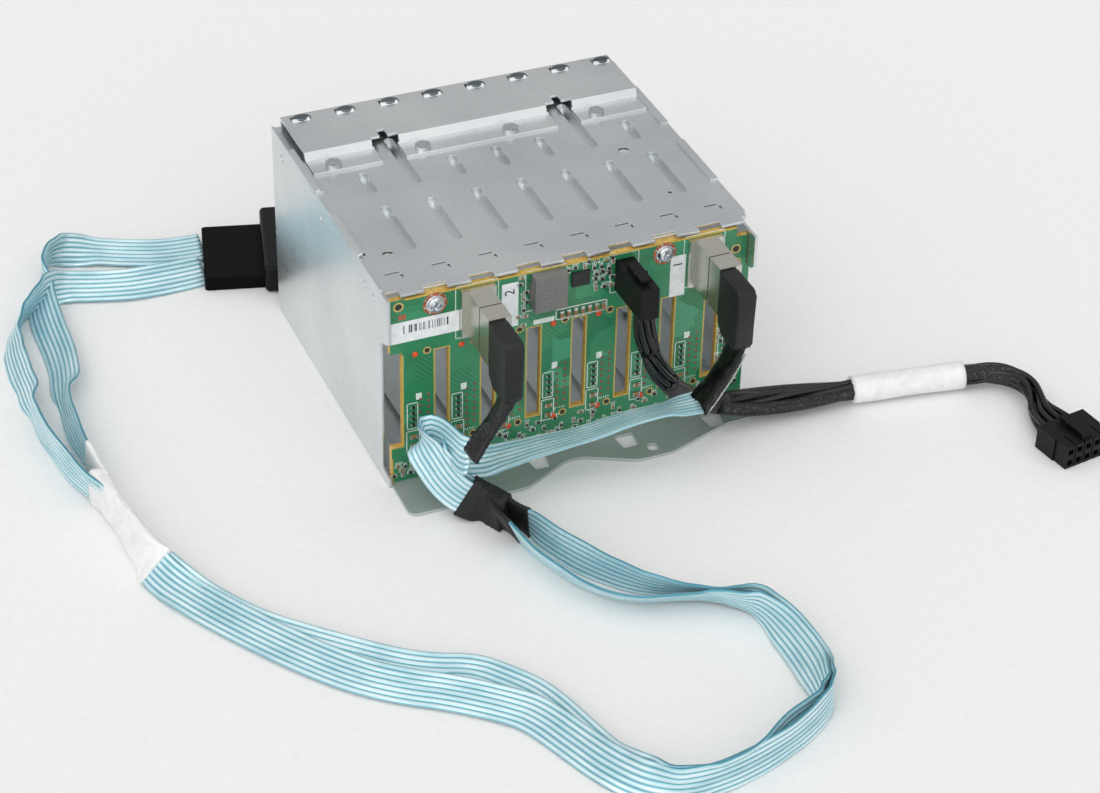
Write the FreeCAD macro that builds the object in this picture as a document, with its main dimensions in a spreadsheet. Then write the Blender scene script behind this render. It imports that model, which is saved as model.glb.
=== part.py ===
"""Eight-bay drive cage with a backplane, two ribbon leads that join one wide plug, and a power lead.

Millimetres. +Z is up, +Y points out of the open drive side, -Y is the cable side. The origin is
the centre of the cage's box on the surface that it stands on.
"""
import FreeCAD, Part
import math
import os
import re

import Sketcher
from FreeCAD import Placement, Rotation, Vector

doc = FreeCAD.newDocument("drive_cage")

# ---------------------------------------------------------------- driving sizes
SIZES = {
    # cage
    "bays": 8, "bay_pitch": 17.8, "cage_depth": 145.5, "cage_height": 82.7, "sheet_metal": 1.0,
    "lip_depth": 20.5, "side_setback": 5.5, "flange_drop": 4.0, "floor_flange": 3.0,
    "side_corner": 6.0,
    # beads pressed into the top and bottom panels
    "bead_width": 5.6, "bead_depth": 2.2, "bead_wall": 0.9, "bead_shift": 2.4,
    "rear_bead_start": 25.0, "rear_bead_end": 57.0, "front_bead_start": 66.0, "front_bead_end": 82.0,
    "long_bead_end": 102.0,
    # lances and holes of the top panel
    "lance_length": 5.2, "lance_width": 0.9, "lance_set": 13.4, "lance_shift": 1.4, "lance_hook": 2.2,
    "top_hole": 4.4, "top_hole_x": 47.3, "top_hole_y": 60.9, "top_rear_gap": 0.3, "tab_width": 9.0,
    "tab_reach": 3.0, "moon_x": -60.5, "moon_y": 25.9, "moon_wide": 4.0, "dot_x": 50.9, "dot_y": 27.5,
    "dot_wide": 1.6, "dimple_wide": 3.2, "dimple_deep": 0.4, "dimple_level": 75.5,
    # side walls: ears at the rear and tabs over the top
    "left_ear_low": 60.0, "left_ear_slant": 4.0, "left_ear_high": 82.0, "left_ear_reach": 2.5,
    "foot_ear_high": 4.7, "foot_ear_reach": 1.3, "rear_tab_start": 29.0, "rear_tab_end": 59.0,
    "fore_tab_start": 73.0, "fore_tab_end": 102.0, "tab_thick": 0.8,
    # hood
    "hood_rise": 4.0, "hood_start": 85.0, "hood_step": 94.5, "hood_slope": 1.5, "hood_end": 124.0,
    "hood_notch_wide": 8.0, "hood_notch_deep": 3.0, "hood_notch_start": 119.5, "hood_notch_shift": 1.5,
    "mouse_tip": 102.0, "mouse_tip_wide": 3.0, "mouse_arm_wide": 10.7, "mouse_arm_end": 97.6,
    "mouse_arm_start": 94.8, "mouse_wide": 9.4,
    "curl_long": 1.4, "curl_rise": 0.9, "rivet_set": 88.6, "rivet_head": 6.0, "rivet_rise": 1.3,
    "rivet_shank": 3.2, "rivet_shift": 5.5,
    # backplane
    "board_thick": 2.4, "board_side_gap": 0.5, "board_top_gap": 1.1, "board_step_drop": 4.2,
    "board_step_wide": 5.8, "slot_wide": 5.2, "slot_bottom": 16.6, "slot_height": 39.5,
    "slot_shift": 3.3, "notch_deep": 4.4, "notch_height": 41.3, "ear_low": 63.5, "ear_high": 78.0,
    "ear_reach": 5.4, "ear_gap": 0.3, "screw_hole": 3.3, "screw_head": 6.2, "screw_rise": 2.2,
    "screw_shank": 3.0, "screw_level": 75.9, "screw_shift": 0.8,
    # drive connectors
    "drive_plug_wide": 4.8, "drive_plug_tall": 43.5, "drive_plug_deep": 8.5, "drive_plug_low": 14.0,
    "drive_plug_gap": 0.1, "drive_wall": 0.9, "drive_tongue": 1.0,
    # mini SAS ports and plugs
    "port_shift": 1.15, "port_low": 60.0, "port_tall": 19.6, "port_wide": 8.7, "port_deep": 13.0,
    "port_wall": 0.5, "port_foot": 2.2, "port_foot_deep": 2.5, "fit_gap": 0.3, "sas_shell_out": 9.0,
    "sas_body_wide": 7.1, "sas_body_shift": -1.0, "sas_body_deep": 16.0, "sas_body_low": 53.0,
    "sas_slope": 6.0, "sas_slope_deep": 9.0, "sleeve_wide": 14.0,
    "sleeve_thick": 3.8, "sleeve_aside": 13.0, "sleeve_drop": 24.0, "ribbon_thick": 5.0,
    # power header and plug
    "header_x": 20.5, "header_wide": 7.2, "header_low": 65.0, "header_tall": 12.6,
    "header_deep": 11.0, "header_wall": 0.8, "power_plug_out": 11.5, "lead_thick": 8.4,
    "latch_thick": 1.2, "latch_wide": 4.0, "latch_gap": 1.0, "latch_hook": 0.7, "latch_pin": 1.6,
    "latch_pin_reach": 0.6, "power_pivot_out": 2.5, "power_catch_set": 3.0, "power_tail": 8.0,
    # parts on the board
    "coil_left": 15.9, "coil_wide": 12.4, "coil_low": 65.0, "coil_tall": 14.5, "coil_deep": 4.5,
    "chip_left": 0.3, "chip_wide": 6.9, "chip_low": 70.5, "chip_tall": 5.9, "chip_deep": 1.0,
    # bottom lip
    "lip_hole": 4.6, "lip_hole_x": 55.7, "lip_hole_span": 83.9, "lip_hole_set": 15.0,
    "lip_cut_shift": 3.0, "lip_cut_set": 8.0, "lip_cut_long": 8.0, "lip_cut_wide": 8.0,
    "lip_cut_narrow": 6.0, "lip_corner": 3.0, "lip_wave": 12.0, "wave_start": 24.0,
    "wave_bay_left": 5.0, "wave_bay_right": 1.0, "wave_crest": 20.0, "wave_crest_end": 34.0,
    "wave_end": 60.0, "wave_pitch": 17.8, "wave_deep": 9.8, "wave_rise": 0.2, "wave_right": 9.0,
    # wide plug
    "wide_long": 24.0, "wide_across": 38.0, "wide_thick": 6.0, "collar_long": 12.0,
    "collar_across": 47.0, "collar_thick": 12.0, "nose_long": 15.0, "nose_across": 19.0,
    "nose_thick": 8.4, "nose_gap": 2.6, "spring_thick": 0.6, "spring_hook": 2.0, "spring_pin": 0.8,
    "spring_pin_set": 0.5,
    # end plug of the power lead
    "end_pitch": 4.2, "end_ways": 5, "end_thick": 9.6, "end_body": 10.0, "end_prong": 6.7,
    "end_rim": 0.3, "end_slit": 0.25, "end_cell": 0.9, "end_pin_set": 6.0, "end_latch_start": 1.0,
    "end_latch_hook": 3.0, "end_hook_long": 2.0,
}
DERIVED = {
    "half_width": "(bays * bay_pitch / 2)",
    "front": "(cage_depth / 2)",
    "board_rear": "(lip_depth - cage_depth / 2)",
    "board_front": "(board_rear + board_thick)",
    "inner_half": "(half_width - sheet_metal)",
    "ceiling": "(cage_height - sheet_metal)",
    "hood_top": "(cage_height + hood_rise)",
    "hood_half": "(inner_half - 2 * sheet_metal - fit_gap)",
    "hood_front": "(board_rear + hood_end)",
    "board_top": "(ceiling - board_top_gap)",
    "board_left": "(board_side_gap - inner_half)",
    "slot_top": "(slot_bottom + slot_height)",
    "wave_lean": "(wave_deep * wave_pitch / ((wave_start - wave_bay_left) * bay_pitch))",
    "wave_flat": "((wave_bay_left + wave_bay_right) * bay_pitch / wave_pitch)",
    "wave_wall": "(0.49 * wave_flat * wave_lean / (sqrt(1 + wave_lean * wave_lean) - 1))",
}

sheet = doc.addObject("Spreadsheet::Sheet", "Sizes")
for row, (alias, number) in enumerate(SIZES.items(), start=1):
    sheet.set("A%d" % row, alias)
    sheet.set("B%d" % row, str(number))
    sheet.setAlias("B%d" % row, alias)
doc.recompute()


def bound(text):
    """An expression for the sheet: derived names are written out and sheet names get the sheet's name."""
    text = str(text)
    while any(name in DERIVED for name in re.findall(r"[a-z_]+", text)):
        text = re.sub(r"[a-z_]+", lambda found: DERIVED.get(found.group(), found.group()), text)
    return re.sub(r"[a-z_]+", lambda found: "Sizes." + found.group()
                  if found.group() in SIZES else found.group(), text)


def size(text):
    """The number that an expression of named sizes comes to."""
    return float(sheet.evalExpression(bound(text)))


# ---------------------------------------------------------------- sketch and feature helpers
def new_body(label):
    body = doc.addObject("PartDesign::Body", label)
    body.Label = label
    return body


def new_sketch(body, plane, offset="0"):
    """A sketch on one of the body's own origin planes, moved along that plane's normal."""
    sketch = body.newObject("Sketcher::SketchObject", body.Name + "_sketch")
    origin_plane = next(item for item in body.Origin.OriginFeatures if item.Role == plane)
    sketch.AttachmentSupport = [(origin_plane, "")]
    sketch.MapMode = "FlatFace"
    sketch.setExpression("AttachmentOffset.Base.z", bound(offset))
    return sketch


def pin_point(sketch, geometry, point, across, up):
    """Hold one sketch point at two named coordinates."""
    for kind, text in (("DistanceX", across), ("DistanceY", up)):
        number = sketch.addConstraint(Sketcher.Constraint(kind, -1, 1, geometry, point, size(text)))
        sketch.setExpression("Constraints[%d]" % number, bound(text))


def add_outline(sketch, corners):
    """A closed outline of straight sides through the corners, each pair two expressions."""
    first = sketch.GeometryCount
    points = [Vector(size(across), size(up), 0) for across, up in corners]
    count = len(points)
    for index in range(count):
        sketch.addGeometry(Part.LineSegment(points[index], points[(index + 1) % count]))
    for index in range(count):
        following = first + (index + 1) % count
        sketch.addConstraint(Sketcher.Constraint("Coincident", first + index, 2, following, 1))
    for index, (across, up) in enumerate(corners):
        pin_point(sketch, first + index, 1, across, up)


def add_box(sketch, left, right, low, high):
    add_outline(sketch, [(left, low), (right, low), (right, high), (left, high)])


def add_circle(sketch, across, up, diameter):
    centre = Vector(size(across), size(up), 0)
    index = sketch.addGeometry(Part.Circle(centre, Vector(0, 0, 1), size(diameter) / 2))
    pin_point(sketch, index, 3, across, up)
    number = sketch.addConstraint(Sketcher.Constraint("Diameter", index, size(diameter)))
    sketch.setExpression("Constraints[%d]" % number, bound(diameter))


def add_stadium(sketch, across, low, high, width):
    """A slot with round ends that runs up the sketch between two levels."""
    first = sketch.GeometryCount
    radius = "(%s) / 2" % width
    middle, bottom, top, half = size(across), size(low), size(high), size(radius)
    lower, upper = Vector(middle, bottom + half, 0), Vector(middle, top - half, 0)
    normal = Vector(0, 0, 1)
    sketch.addGeometry(Part.ArcOfCircle(Part.Circle(lower, normal, half), math.pi, 2 * math.pi))
    sketch.addGeometry(Part.ArcOfCircle(Part.Circle(upper, normal, half), 0, math.pi))
    sketch.addGeometry(Part.LineSegment(lower + Vector(half, 0, 0), upper + Vector(half, 0, 0)))
    sketch.addGeometry(Part.LineSegment(upper - Vector(half, 0, 0), lower - Vector(half, 0, 0)))
    joins = ((first, 2, first + 2, 1), (first + 2, 2, first + 1, 1),
             (first + 1, 2, first + 3, 1), (first + 3, 2, first, 1))
    for join in joins:
        sketch.addConstraint(Sketcher.Constraint("Tangent", *join))
    pin_point(sketch, first, 3, across, "%s + %s" % (low, radius))
    number = sketch.addConstraint(Sketcher.Constraint("DistanceY", -1, 1, first + 1, 3, upper.y))
    sketch.setExpression("Constraints[%d]" % number, bound("%s - %s" % (high, radius)))
    number = sketch.addConstraint(Sketcher.Constraint("Radius", first, half))
    sketch.setExpression("Constraints[%d]" % number, bound(radius))


def add_half_moon(sketch, across, low, radius):
    """A half disc whose straight side lies along the sketch's first axis."""
    first = sketch.GeometryCount
    centre, reach = Vector(size(across), size(low), 0), size(radius)
    side = Vector(reach, 0, 0)
    circle = Part.Circle(centre, Vector(0, 0, 1), reach)
    sketch.addGeometry(Part.ArcOfCircle(circle, 0, math.pi))
    sketch.addGeometry(Part.LineSegment(centre - side, centre + side))
    sketch.addConstraint(Sketcher.Constraint("Coincident", first, 2, first + 1, 1))
    sketch.addConstraint(Sketcher.Constraint("Coincident", first, 1, first + 1, 2))
    pin_point(sketch, first, 3, across, low)
    pin_point(sketch, first + 1, 2, "%s + %s" % (across, radius), low)


def make_feature(body, kind, sketch, length, backward):
    feature = body.newObject("PartDesign::" + kind, "%s_%s" % (body.Name, kind.lower()))
    feature.Profile = sketch
    feature.setExpression("Length", bound(length))
    feature.Reversed = backward
    doc.recompute()
    return feature


def pad(body, sketch, length, backward=False):
    return make_feature(body, "Pad", sketch, length, backward)


def pocket(body, sketch, length, backward=False):
    """Cut the sketch out of the body, and stop if nothing was cut."""
    before = body.Shape.Volume
    feature = make_feature(body, "Pocket", sketch, length, backward)
    if feature.Shape.Volume > before - 1e-3:
        raise RuntimeError("a pocket of %s cuts nothing" % body.Label)
    return feature


def repeat(body, features, spacing, count, axis="H_Axis"):
    """Copies of the features at an even spacing along an axis of the first one's sketch."""
    pattern = body.newObject("PartDesign::LinearPattern", body.Name + "_pattern")
    pattern.Originals = features
    pattern.Direction = (features[0].Profile[0], [axis])
    pattern.Mode = "Spacing"
    pattern.setExpression("Offset", bound(spacing))
    pattern.setExpression("Occurrences", bound(count))
    body.Tip = pattern
    doc.recompute()
    return pattern


def round_edges(body, radius, chosen):
    """Fillet the edges of the body's tip that the test chooses."""
    base = body.Tip
    names = ["Edge%d" % (number + 1) for number, edge in enumerate(base.Shape.Edges) if chosen(edge)]
    if not names:
        raise RuntimeError("no edge of %s to round" % body.Label)
    fillet = body.newObject("PartDesign::Fillet", body.Name + "_fillet")
    fillet.Base = (base, names)
    fillet.setExpression("Radius", bound(radius))
    doc.recompute()
    return fillet


def runs_along(axis, first, second):
    """A test for straight edges along an axis that pass a point given by its other two places."""
    others = [index for index in range(3) if index != axis]

    def chosen(edge):
        start, end = edge.firstVertex().Point, edge.lastVertex().Point
        if abs((end - start).Length - abs(end[axis] - start[axis])) > 1e-4:
            return False
        places = (start[others[0]], start[others[1]])
        return all(want is None or abs(place - size(want)) < 1e-3
                   for place, want in zip(places, (first, second)))
    return chosen


def block(name, corner, lengths):
    """A plain block whose corner and sides are expressions."""
    box = doc.addObject("Part::Box", name)
    for side, text in zip(("Length", "Width", "Height"), lengths):
        box.setExpression(side, bound(text))
    for axis, text in zip("xyz", corner):
        box.setExpression("Placement.Base." + axis, bound(text))
    return box


def rod(name, centre, diameter, length, turn=Rotation()):
    """A plain cylinder that starts at a centre and runs along the turned Z axis."""
    cylinder = doc.addObject("Part::Cylinder", name)
    cylinder.setExpression("Radius", bound("(%s) / 2" % diameter))
    cylinder.setExpression("Height", bound(length))
    cylinder.Placement = Placement(Vector(), turn)
    for axis, text in zip("xyz", centre):
        cylinder.setExpression("Placement.Base." + axis, bound(text))
    return cylinder


def joined(label, shapes):
    fuse = doc.addObject("Part::MultiFuse", label)
    fuse.Label = label
    fuse.Shapes = shapes
    fuse.Refine = True
    return fuse


# ---------------------------------------------------------------- sheet metal
def bay_line(shift):
    """X of the first of the lines that lie between bays, counted from the left."""
    return "(1 - bays / 2) * bay_pitch + (%s)" % shift


def make_beads(body, outside, inward_up, start, end, skipped="0"):
    """One pressed bead: a ridge on the inner face and its groove on the outer face."""
    first_x = "%s + %s * bay_pitch" % (bay_line("bead_shift"), skipped)
    ridge = new_sketch(body, "XY_Plane", outside)
    add_stadium(ridge, first_x, "board_rear + %s" % start, "board_rear + %s" % end, "bead_width")
    ridge_pad = pad(body, ridge, "sheet_metal + bead_depth", backward=not inward_up)
    groove = new_sketch(body, "XY_Plane", outside)
    add_stadium(groove, first_x, "board_rear + %s + bead_wall" % start,
                "board_rear + %s - bead_wall" % end, "bead_width - 2 * bead_wall")
    groove_cut = pocket(body, groove, "sheet_metal + bead_depth - bead_wall", backward=inward_up)
    return [ridge_pad, groove_cut]


def make_top_panel():
    body = new_body("cage_top_panel")
    rear = "board_front + top_rear_gap"
    plate = new_sketch(body, "XY_Plane", "cage_height")
    add_box(plate, "-inner_half", "inner_half", rear, "hood_front")
    pad(body, plate, "sheet_metal", backward=True)
    for side in ("-inner_half", "inner_half - sheet_metal"):
        flange = new_sketch(body, "XY_Plane", "cage_height")
        add_box(flange, side, "%s + sheet_metal" % side, "board_rear + side_setback", "hood_front")
        pad(body, flange, "flange_drop", backward=True)
    # tongues of the rear edge that reach over the board
    tongue = new_sketch(body, "XY_Plane", "cage_height")
    left = "-inner_half + tab_width / 2"
    add_box(tongue, left, "%s + tab_width" % left, "%s - tab_reach" % rear, rear)
    tongue_pad = pad(body, tongue, "sheet_metal", backward=True)
    repeat(body, [tongue_pad], "bay_pitch", "bays")
    # ears that hang behind the board and take its screws
    for screw in SCREWS:
        ear = new_sketch(body, "XZ_Plane", "-(board_front)")
        add_box(ear, "%s - screw_head" % screw, "%s + screw_head" % screw,
                "screw_level - screw_head", "ceiling")
        add_circle(ear, screw, "screw_level", "screw_shank")
        pad(body, ear, "sheet_metal", backward=True)
    beads = make_beads(body, "cage_height", False, "rear_bead_start", "rear_bead_end")
    repeat(body, beads, "bay_pitch", "bays - 1")
    beads = make_beads(body, "cage_height", False, "front_bead_start", "front_bead_end")
    repeat(body, beads, "bay_pitch", "bays - 1")
    beads = make_beads(body, "cage_height", False, "front_bead_start", "long_bead_end", "1")
    repeat(body, beads, "4 * bay_pitch", "2")
    lance = new_sketch(body, "XY_Plane", "cage_height")
    first_x = "(0.5 - bays / 2) * bay_pitch - lance_shift"
    low = "board_rear + lance_set"
    add_box(lance, "%s - lance_length / 2" % first_x, "%s + lance_length / 2" % first_x,
            low, "%s + lance_width" % low)
    lance_cut = pocket(body, lance, "2 * sheet_metal")
    hook = new_sketch(body, "XY_Plane", "cage_height")
    right = "%s + lance_length / 2 + lance_width" % first_x
    add_box(hook, "%s - lance_width" % right, right, "%s - lance_width - lance_hook" % low,
            "%s - lance_width" % low)
    hook_cut = pocket(body, hook, "2 * sheet_metal")
    repeat(body, [lance_cut, hook_cut], "bay_pitch", "bays")
    hole = new_sketch(body, "XY_Plane", "cage_height")
    add_circle(hole, "top_hole_x", "board_rear + top_hole_y", "top_hole")
    for place in range(RIVET_COUNT):
        add_circle(hole, rivet_x(place), "board_rear + rivet_set", "rivet_shank")
    pocket(body, hole, "2 * sheet_metal")
    marks = new_sketch(body, "XY_Plane", "cage_height")
    add_circle(marks, "dot_x", "board_rear + dot_y", "dot_wide")
    add_half_moon(marks, "moon_x", "board_rear + moon_y", "moon_wide / 2")
    pocket(body, marks, "2 * sheet_metal")
    return body


def make_side_panel(label, side, ear):
    """A side wall: rear ears, clinch dimples, and two tabs folded over the top panel."""
    body = new_body(label)
    outer, inner = ("-half_width", "-inner_half") if side < 0 else ("half_width", "inner_half")
    rear, top = "board_rear + side_setback", "cage_height"
    wall = new_sketch(body, "YZ_Plane", outer)
    add_outline(wall, [(rear, "0"), ("front", "0"), ("front", top), (rear, top)] + ear)
    pad(body, wall, "sheet_metal", backward=side > 0)
    round_edges(body, "side_corner", runs_along(0, "front", "0"))
    for start, end in (("rear_tab_start", "rear_tab_end"), ("fore_tab_start", "fore_tab_end")):
        tab = new_sketch(body, "XY_Plane", top)
        low, high = sorted((outer, "%s %s 2 * sheet_metal" % (inner, "+" if side < 0 else "-")),
                           key=size)
        add_box(tab, low, high, "board_rear + %s" % start, "board_rear + %s" % end)
        pad(body, tab, "tab_thick")
    dimples = new_sketch(body, "YZ_Plane", outer)
    for along in ("fore_tab_end + 11", "fore_tab_start - 5", "rear_tab_start - 8",
                  "rear_tab_start - 17"):
        add_circle(dimples, "board_rear + %s" % along, "dimple_level", "dimple_wide")
    pocket(body, dimples, "dimple_deep", backward=side < 0)
    return body


def left_ears():
    """The left wall's rear outline: an ear with a slanted foot at the top and a low one."""
    rear = "board_rear + side_setback"
    tip, low_tip = "board_rear - left_ear_reach", "board_rear - foot_ear_reach"
    return [(rear, "left_ear_high"), (tip, "left_ear_high"),
            (tip, "left_ear_low + left_ear_slant"), (rear, "left_ear_low"),
            (rear, "foot_ear_high"), (low_tip, "foot_ear_high - 1"), (low_tip, "0")]


def right_ears():
    """The right wall's rear outline, with one ear that passes the board."""
    rear, tip = "board_rear + side_setback", "board_rear - ear_reach"
    return [(rear, "ear_high"), (tip, "ear_high"), (tip, "ear_low + 2"), ("%s + 2" % tip, "ear_low"),
            (rear, "ear_low")]


def make_bottom_panel():
    """The floor panel, its waved rear lip, and the tabs that the board stands against."""
    body = new_body("cage_bottom_panel")
    lip = "board_rear - lip_depth"
    crest, bay = "%s + wave_rise" % lip, "%s + wave_deep" % lip
    wave = [("%s * bay_pitch / wave_pitch" % across, along) for across, along in (
        ("-wave_start", lip), ("-wave_bay_left", bay), ("wave_bay_right", bay),
        ("wave_crest", crest), ("wave_crest_end", crest), ("wave_end", "%s + wave_right" % lip))]
    wave.append(("inner_half", "%s + wave_right + wave_rise" % lip))
    plate = new_sketch(body, "XY_Plane")
    add_outline(plate, [("inner_half", "front"), ("-inner_half", "front"), ("-inner_half", lip)]
                + wave)
    pad(body, plate, "sheet_metal")
    for across, along in wave[:-1]:
        round_edges(body, "min(lip_wave; wave_wall)", runs_along(2, across, along))
    round_edges(body, "lip_corner", runs_along(2, "-inner_half", lip))
    for side in ("-inner_half", "inner_half - sheet_metal"):
        flange = new_sketch(body, "XY_Plane")
        add_box(flange, side, "%s + sheet_metal" % side, "board_rear + side_setback",
                "front - side_corner")
        pad(body, flange, "floor_flange")
    support = new_sketch(body, "XZ_Plane", "-(board_front)")
    left = "(0.5 - bays / 2) * bay_pitch - tab_width / 2"
    add_box(support, left, "%s + tab_width" % left, "0", "floor_flange")
    support_pad = pad(body, support, "sheet_metal", backward=True)
    repeat(body, [support_pad], "bay_pitch", "bays")
    beads = make_beads(body, "0", True, "rear_bead_start", "rear_bead_end")
    repeat(body, beads, "bay_pitch", "bays - 1")
    beads = make_beads(body, "0", True, "front_bead_start", "front_bead_end")
    repeat(body, beads, "bay_pitch", "bays - 1")
    cut = new_sketch(body, "XY_Plane", "sheet_metal")
    first_x = "-3 * bay_pitch + lip_cut_shift"
    rear, ahead = "board_rear - lip_cut_set - lip_cut_long / 2", \
        "board_rear - lip_cut_set + lip_cut_long / 2"
    add_outline(cut, [("%s - lip_cut_narrow / 2" % first_x, rear),
                      ("%s + lip_cut_narrow / 2" % first_x, rear),
                      ("%s + lip_cut_wide / 2" % first_x, ahead),
                      ("%s - lip_cut_wide / 2" % first_x, ahead)])
    repeat(body, [pocket(body, cut, "2 * sheet_metal")], "2 * bay_pitch", "4")
    holes = new_sketch(body, "XY_Plane", "sheet_metal")
    add_circle(holes, "-lip_hole_x", "board_rear - lip_hole_set", "lip_hole")
    add_circle(holes, "lip_hole_span - lip_hole_x", "board_rear - lip_hole_set", "lip_hole")
    pocket(body, holes, "2 * sheet_metal")
    return body


RIVET_COUNT = 4


def rivet_x(place):
    return "%d * bay_pitch - rivet_shift" % (2 * place - 3)


def make_hood():
    """The raised front hood: a riveted flange, a sloped step, a deck and a turned-down front."""
    body = new_body("front_hood_bracket")
    start, step = "board_rear + hood_start", "board_rear + hood_step"
    profile = new_sketch(body, "YZ_Plane", "-hood_half")
    under = "hood_top - sheet_metal"
    crest = "%s + hood_slope" % step
    add_outline(profile, [
        (start, "cage_height"), ("%s + sheet_metal" % step, "cage_height"),
        ("%s + sheet_metal" % crest, under), ("hood_front - sheet_metal", under),
        ("hood_front - sheet_metal", "cage_height"), ("hood_front", "cage_height"),
        ("hood_front", "hood_top"), (crest, "hood_top"),
        (step, "cage_height + sheet_metal"), (start, "cage_height + sheet_metal")])
    pad(body, profile, "2 * hood_half")
    mouse = new_sketch(body, "XY_Plane", "hood_top")
    middle = "-2 * bay_pitch - mouse_tip_wide / 15"
    arm_rear, arm_front = "board_rear + mouse_arm_start", "board_rear + mouse_arm_end"
    halves = (("mouse_wide", "%s - sheet_metal" % start), ("mouse_wide", arm_rear),
              ("mouse_arm_wide", arm_rear), ("mouse_arm_wide", arm_front),
              ("mouse_tip_wide", arm_front), ("mouse_tip_wide", "board_rear + mouse_tip"))
    outline = [("%s + %s / 2" % (middle, wide), along) for wide, along in halves]
    outline += [("%s - %s / 2" % (middle, wide), along) for wide, along in reversed(halves)]
    add_outline(mouse, outline)
    mouse_cut = pocket(body, mouse, "hood_rise")
    repeat(body, [mouse_cut], "4 * bay_pitch", "2")
    notch = new_sketch(body, "XY_Plane", "hood_top")
    first_x = "(0.5 - bays / 2) * bay_pitch + hood_notch_shift"
    low = "board_rear + hood_notch_start"
    add_box(notch, "%s - hood_notch_wide / 2" % first_x, "%s + hood_notch_wide / 2" % first_x,
            low, "%s + hood_notch_deep" % low)
    repeat(body, [pocket(body, notch, "sheet_metal * 2")], "bay_pitch", "bays")
    curl = new_sketch(body, "YZ_Plane", "%s - hood_notch_wide / 2" % first_x)
    crown = "hood_top + curl_rise"
    add_outline(curl, [("%s - curl_long" % low, "hood_top - sheet_metal"), (low, "hood_top - sheet_metal"),
                       (low, crown), ("%s - curl_long / 2" % low, crown),
                       ("%s - curl_long" % low, "hood_top")])
    repeat(body, [pad(body, curl, "hood_notch_wide - sheet_metal")], "bay_pitch", "bays", "N_Axis")
    holes = new_sketch(body, "XY_Plane", "hood_top")
    for place in range(RIVET_COUNT):
        add_circle(holes, rivet_x(place), "board_rear + rivet_set", "rivet_shank")
    pocket(body, holes, "hood_rise + sheet_metal / 2")
    return body


def make_rivet(place):
    head = rod("rivet_head", (rivet_x(place), "board_rear + rivet_set",
                              "cage_height + sheet_metal"), "rivet_head", "rivet_rise")
    shank = rod("rivet_shank", (rivet_x(place), "board_rear + rivet_set", "ceiling - sheet_metal"),
                "rivet_shank", "3 * sheet_metal")
    tail = rod("rivet_tail", (rivet_x(place), "board_rear + rivet_set", "ceiling - sheet_metal"),
               "rivet_shank * 1.5", "sheet_metal")
    return joined("hood_rivet_%d" % (place + 1), [head, shank, tail])


# ---------------------------------------------------------------- backplane
SCREWS = ("-3 * bay_pitch + screw_shift", "2 * bay_pitch + screw_shift")


def make_board():
    body = new_body("backplane_board")
    outline = new_sketch(body, "XZ_Plane", "-(board_rear)")
    ear_side = "half_width - sheet_metal - ear_gap"
    step = "half_width - board_step_wide"
    right_top = "board_top - board_step_drop"
    notch_side = "board_left + notch_deep"
    notch_top = "slot_bottom + notch_height"
    add_outline(outline, [
        ("board_left", "sheet_metal"), ("half_width", "sheet_metal"),
        ("half_width", "ear_low - ear_gap"), (ear_side, "ear_low - ear_gap"),
        (ear_side, right_top), (step, right_top), (step, "board_top"), ("board_left", "board_top"),
        ("board_left", notch_top), (notch_side, notch_top), (notch_side, "slot_bottom"),
        ("board_left", "slot_bottom")])
    pad(body, outline, "board_thick", backward=True)
    slot = new_sketch(body, "XZ_Plane", "-(board_rear)")
    middle = bay_line("slot_shift")
    add_box(slot, "%s - slot_wide / 2" % middle, "%s + slot_wide / 2" % middle,
            "slot_bottom", "slot_top")
    repeat(body, [pocket(body, slot, "board_thick * 2")], "bay_pitch", "bays - 1")
    holes = new_sketch(body, "XZ_Plane", "-(board_rear)")
    for screw in SCREWS:
        add_circle(holes, screw, "screw_level", "screw_hole")
    pocket(body, holes, "board_thick * 2")
    return body


BACKWARD = Rotation(Vector(1, 0, 0), -90)


def make_screw(place):
    screw = SCREWS[place]
    head = rod("screw_head", (screw, "board_rear - screw_rise", "screw_level"), "screw_head",
               "screw_rise", BACKWARD)
    shank = rod("screw_shank", (screw, "board_rear", "screw_level"), "screw_shank - 0.1",
                "board_thick + 3 * sheet_metal", BACKWARD)
    return joined("board_screw_%d" % (place + 1), [head, shank])


def make_drive_connector(place):
    """A drive receptacle: a shroud with a keyed pocket and the contact tongue in it."""
    body = new_body("drive_connector_%d" % (place + 1))
    middle = "(%s - bays / 2) * bay_pitch - sheet_metal - drive_plug_gap - drive_plug_wide / 2" \
        % (place + 1)
    half = "drive_plug_wide / 2"
    top = "drive_plug_low + drive_plug_tall"
    face = "-(board_front)"
    shroud = new_sketch(body, "XZ_Plane", face)
    add_box(shroud, "%s - %s" % (middle, half), "%s + %s" % (middle, half), "drive_plug_low", top)
    pad(body, shroud, "drive_plug_deep", backward=True)
    cavity = new_sketch(body, "XZ_Plane", "-(board_front + drive_plug_deep)")
    add_box(cavity, "%s - %s + drive_wall" % (middle, half), "%s + %s - drive_wall" % (middle, half),
            "drive_plug_low + 3 * drive_wall", "%s - 3 * drive_wall" % top)
    pocket(body, cavity, "drive_plug_deep - 2 * drive_wall", backward=True)
    tongue = new_sketch(body, "XZ_Plane", face)
    add_box(tongue, "%s - drive_tongue / 2" % middle, "%s + drive_tongue / 2" % middle,
            "drive_plug_low + 4 * drive_wall", "%s - 4 * drive_wall" % top)
    pad(body, tongue, "drive_plug_deep - drive_wall", backward=True)
    return body


PORTS = ("3 * bay_pitch - port_shift", "-2 * bay_pitch - port_shift")


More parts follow.
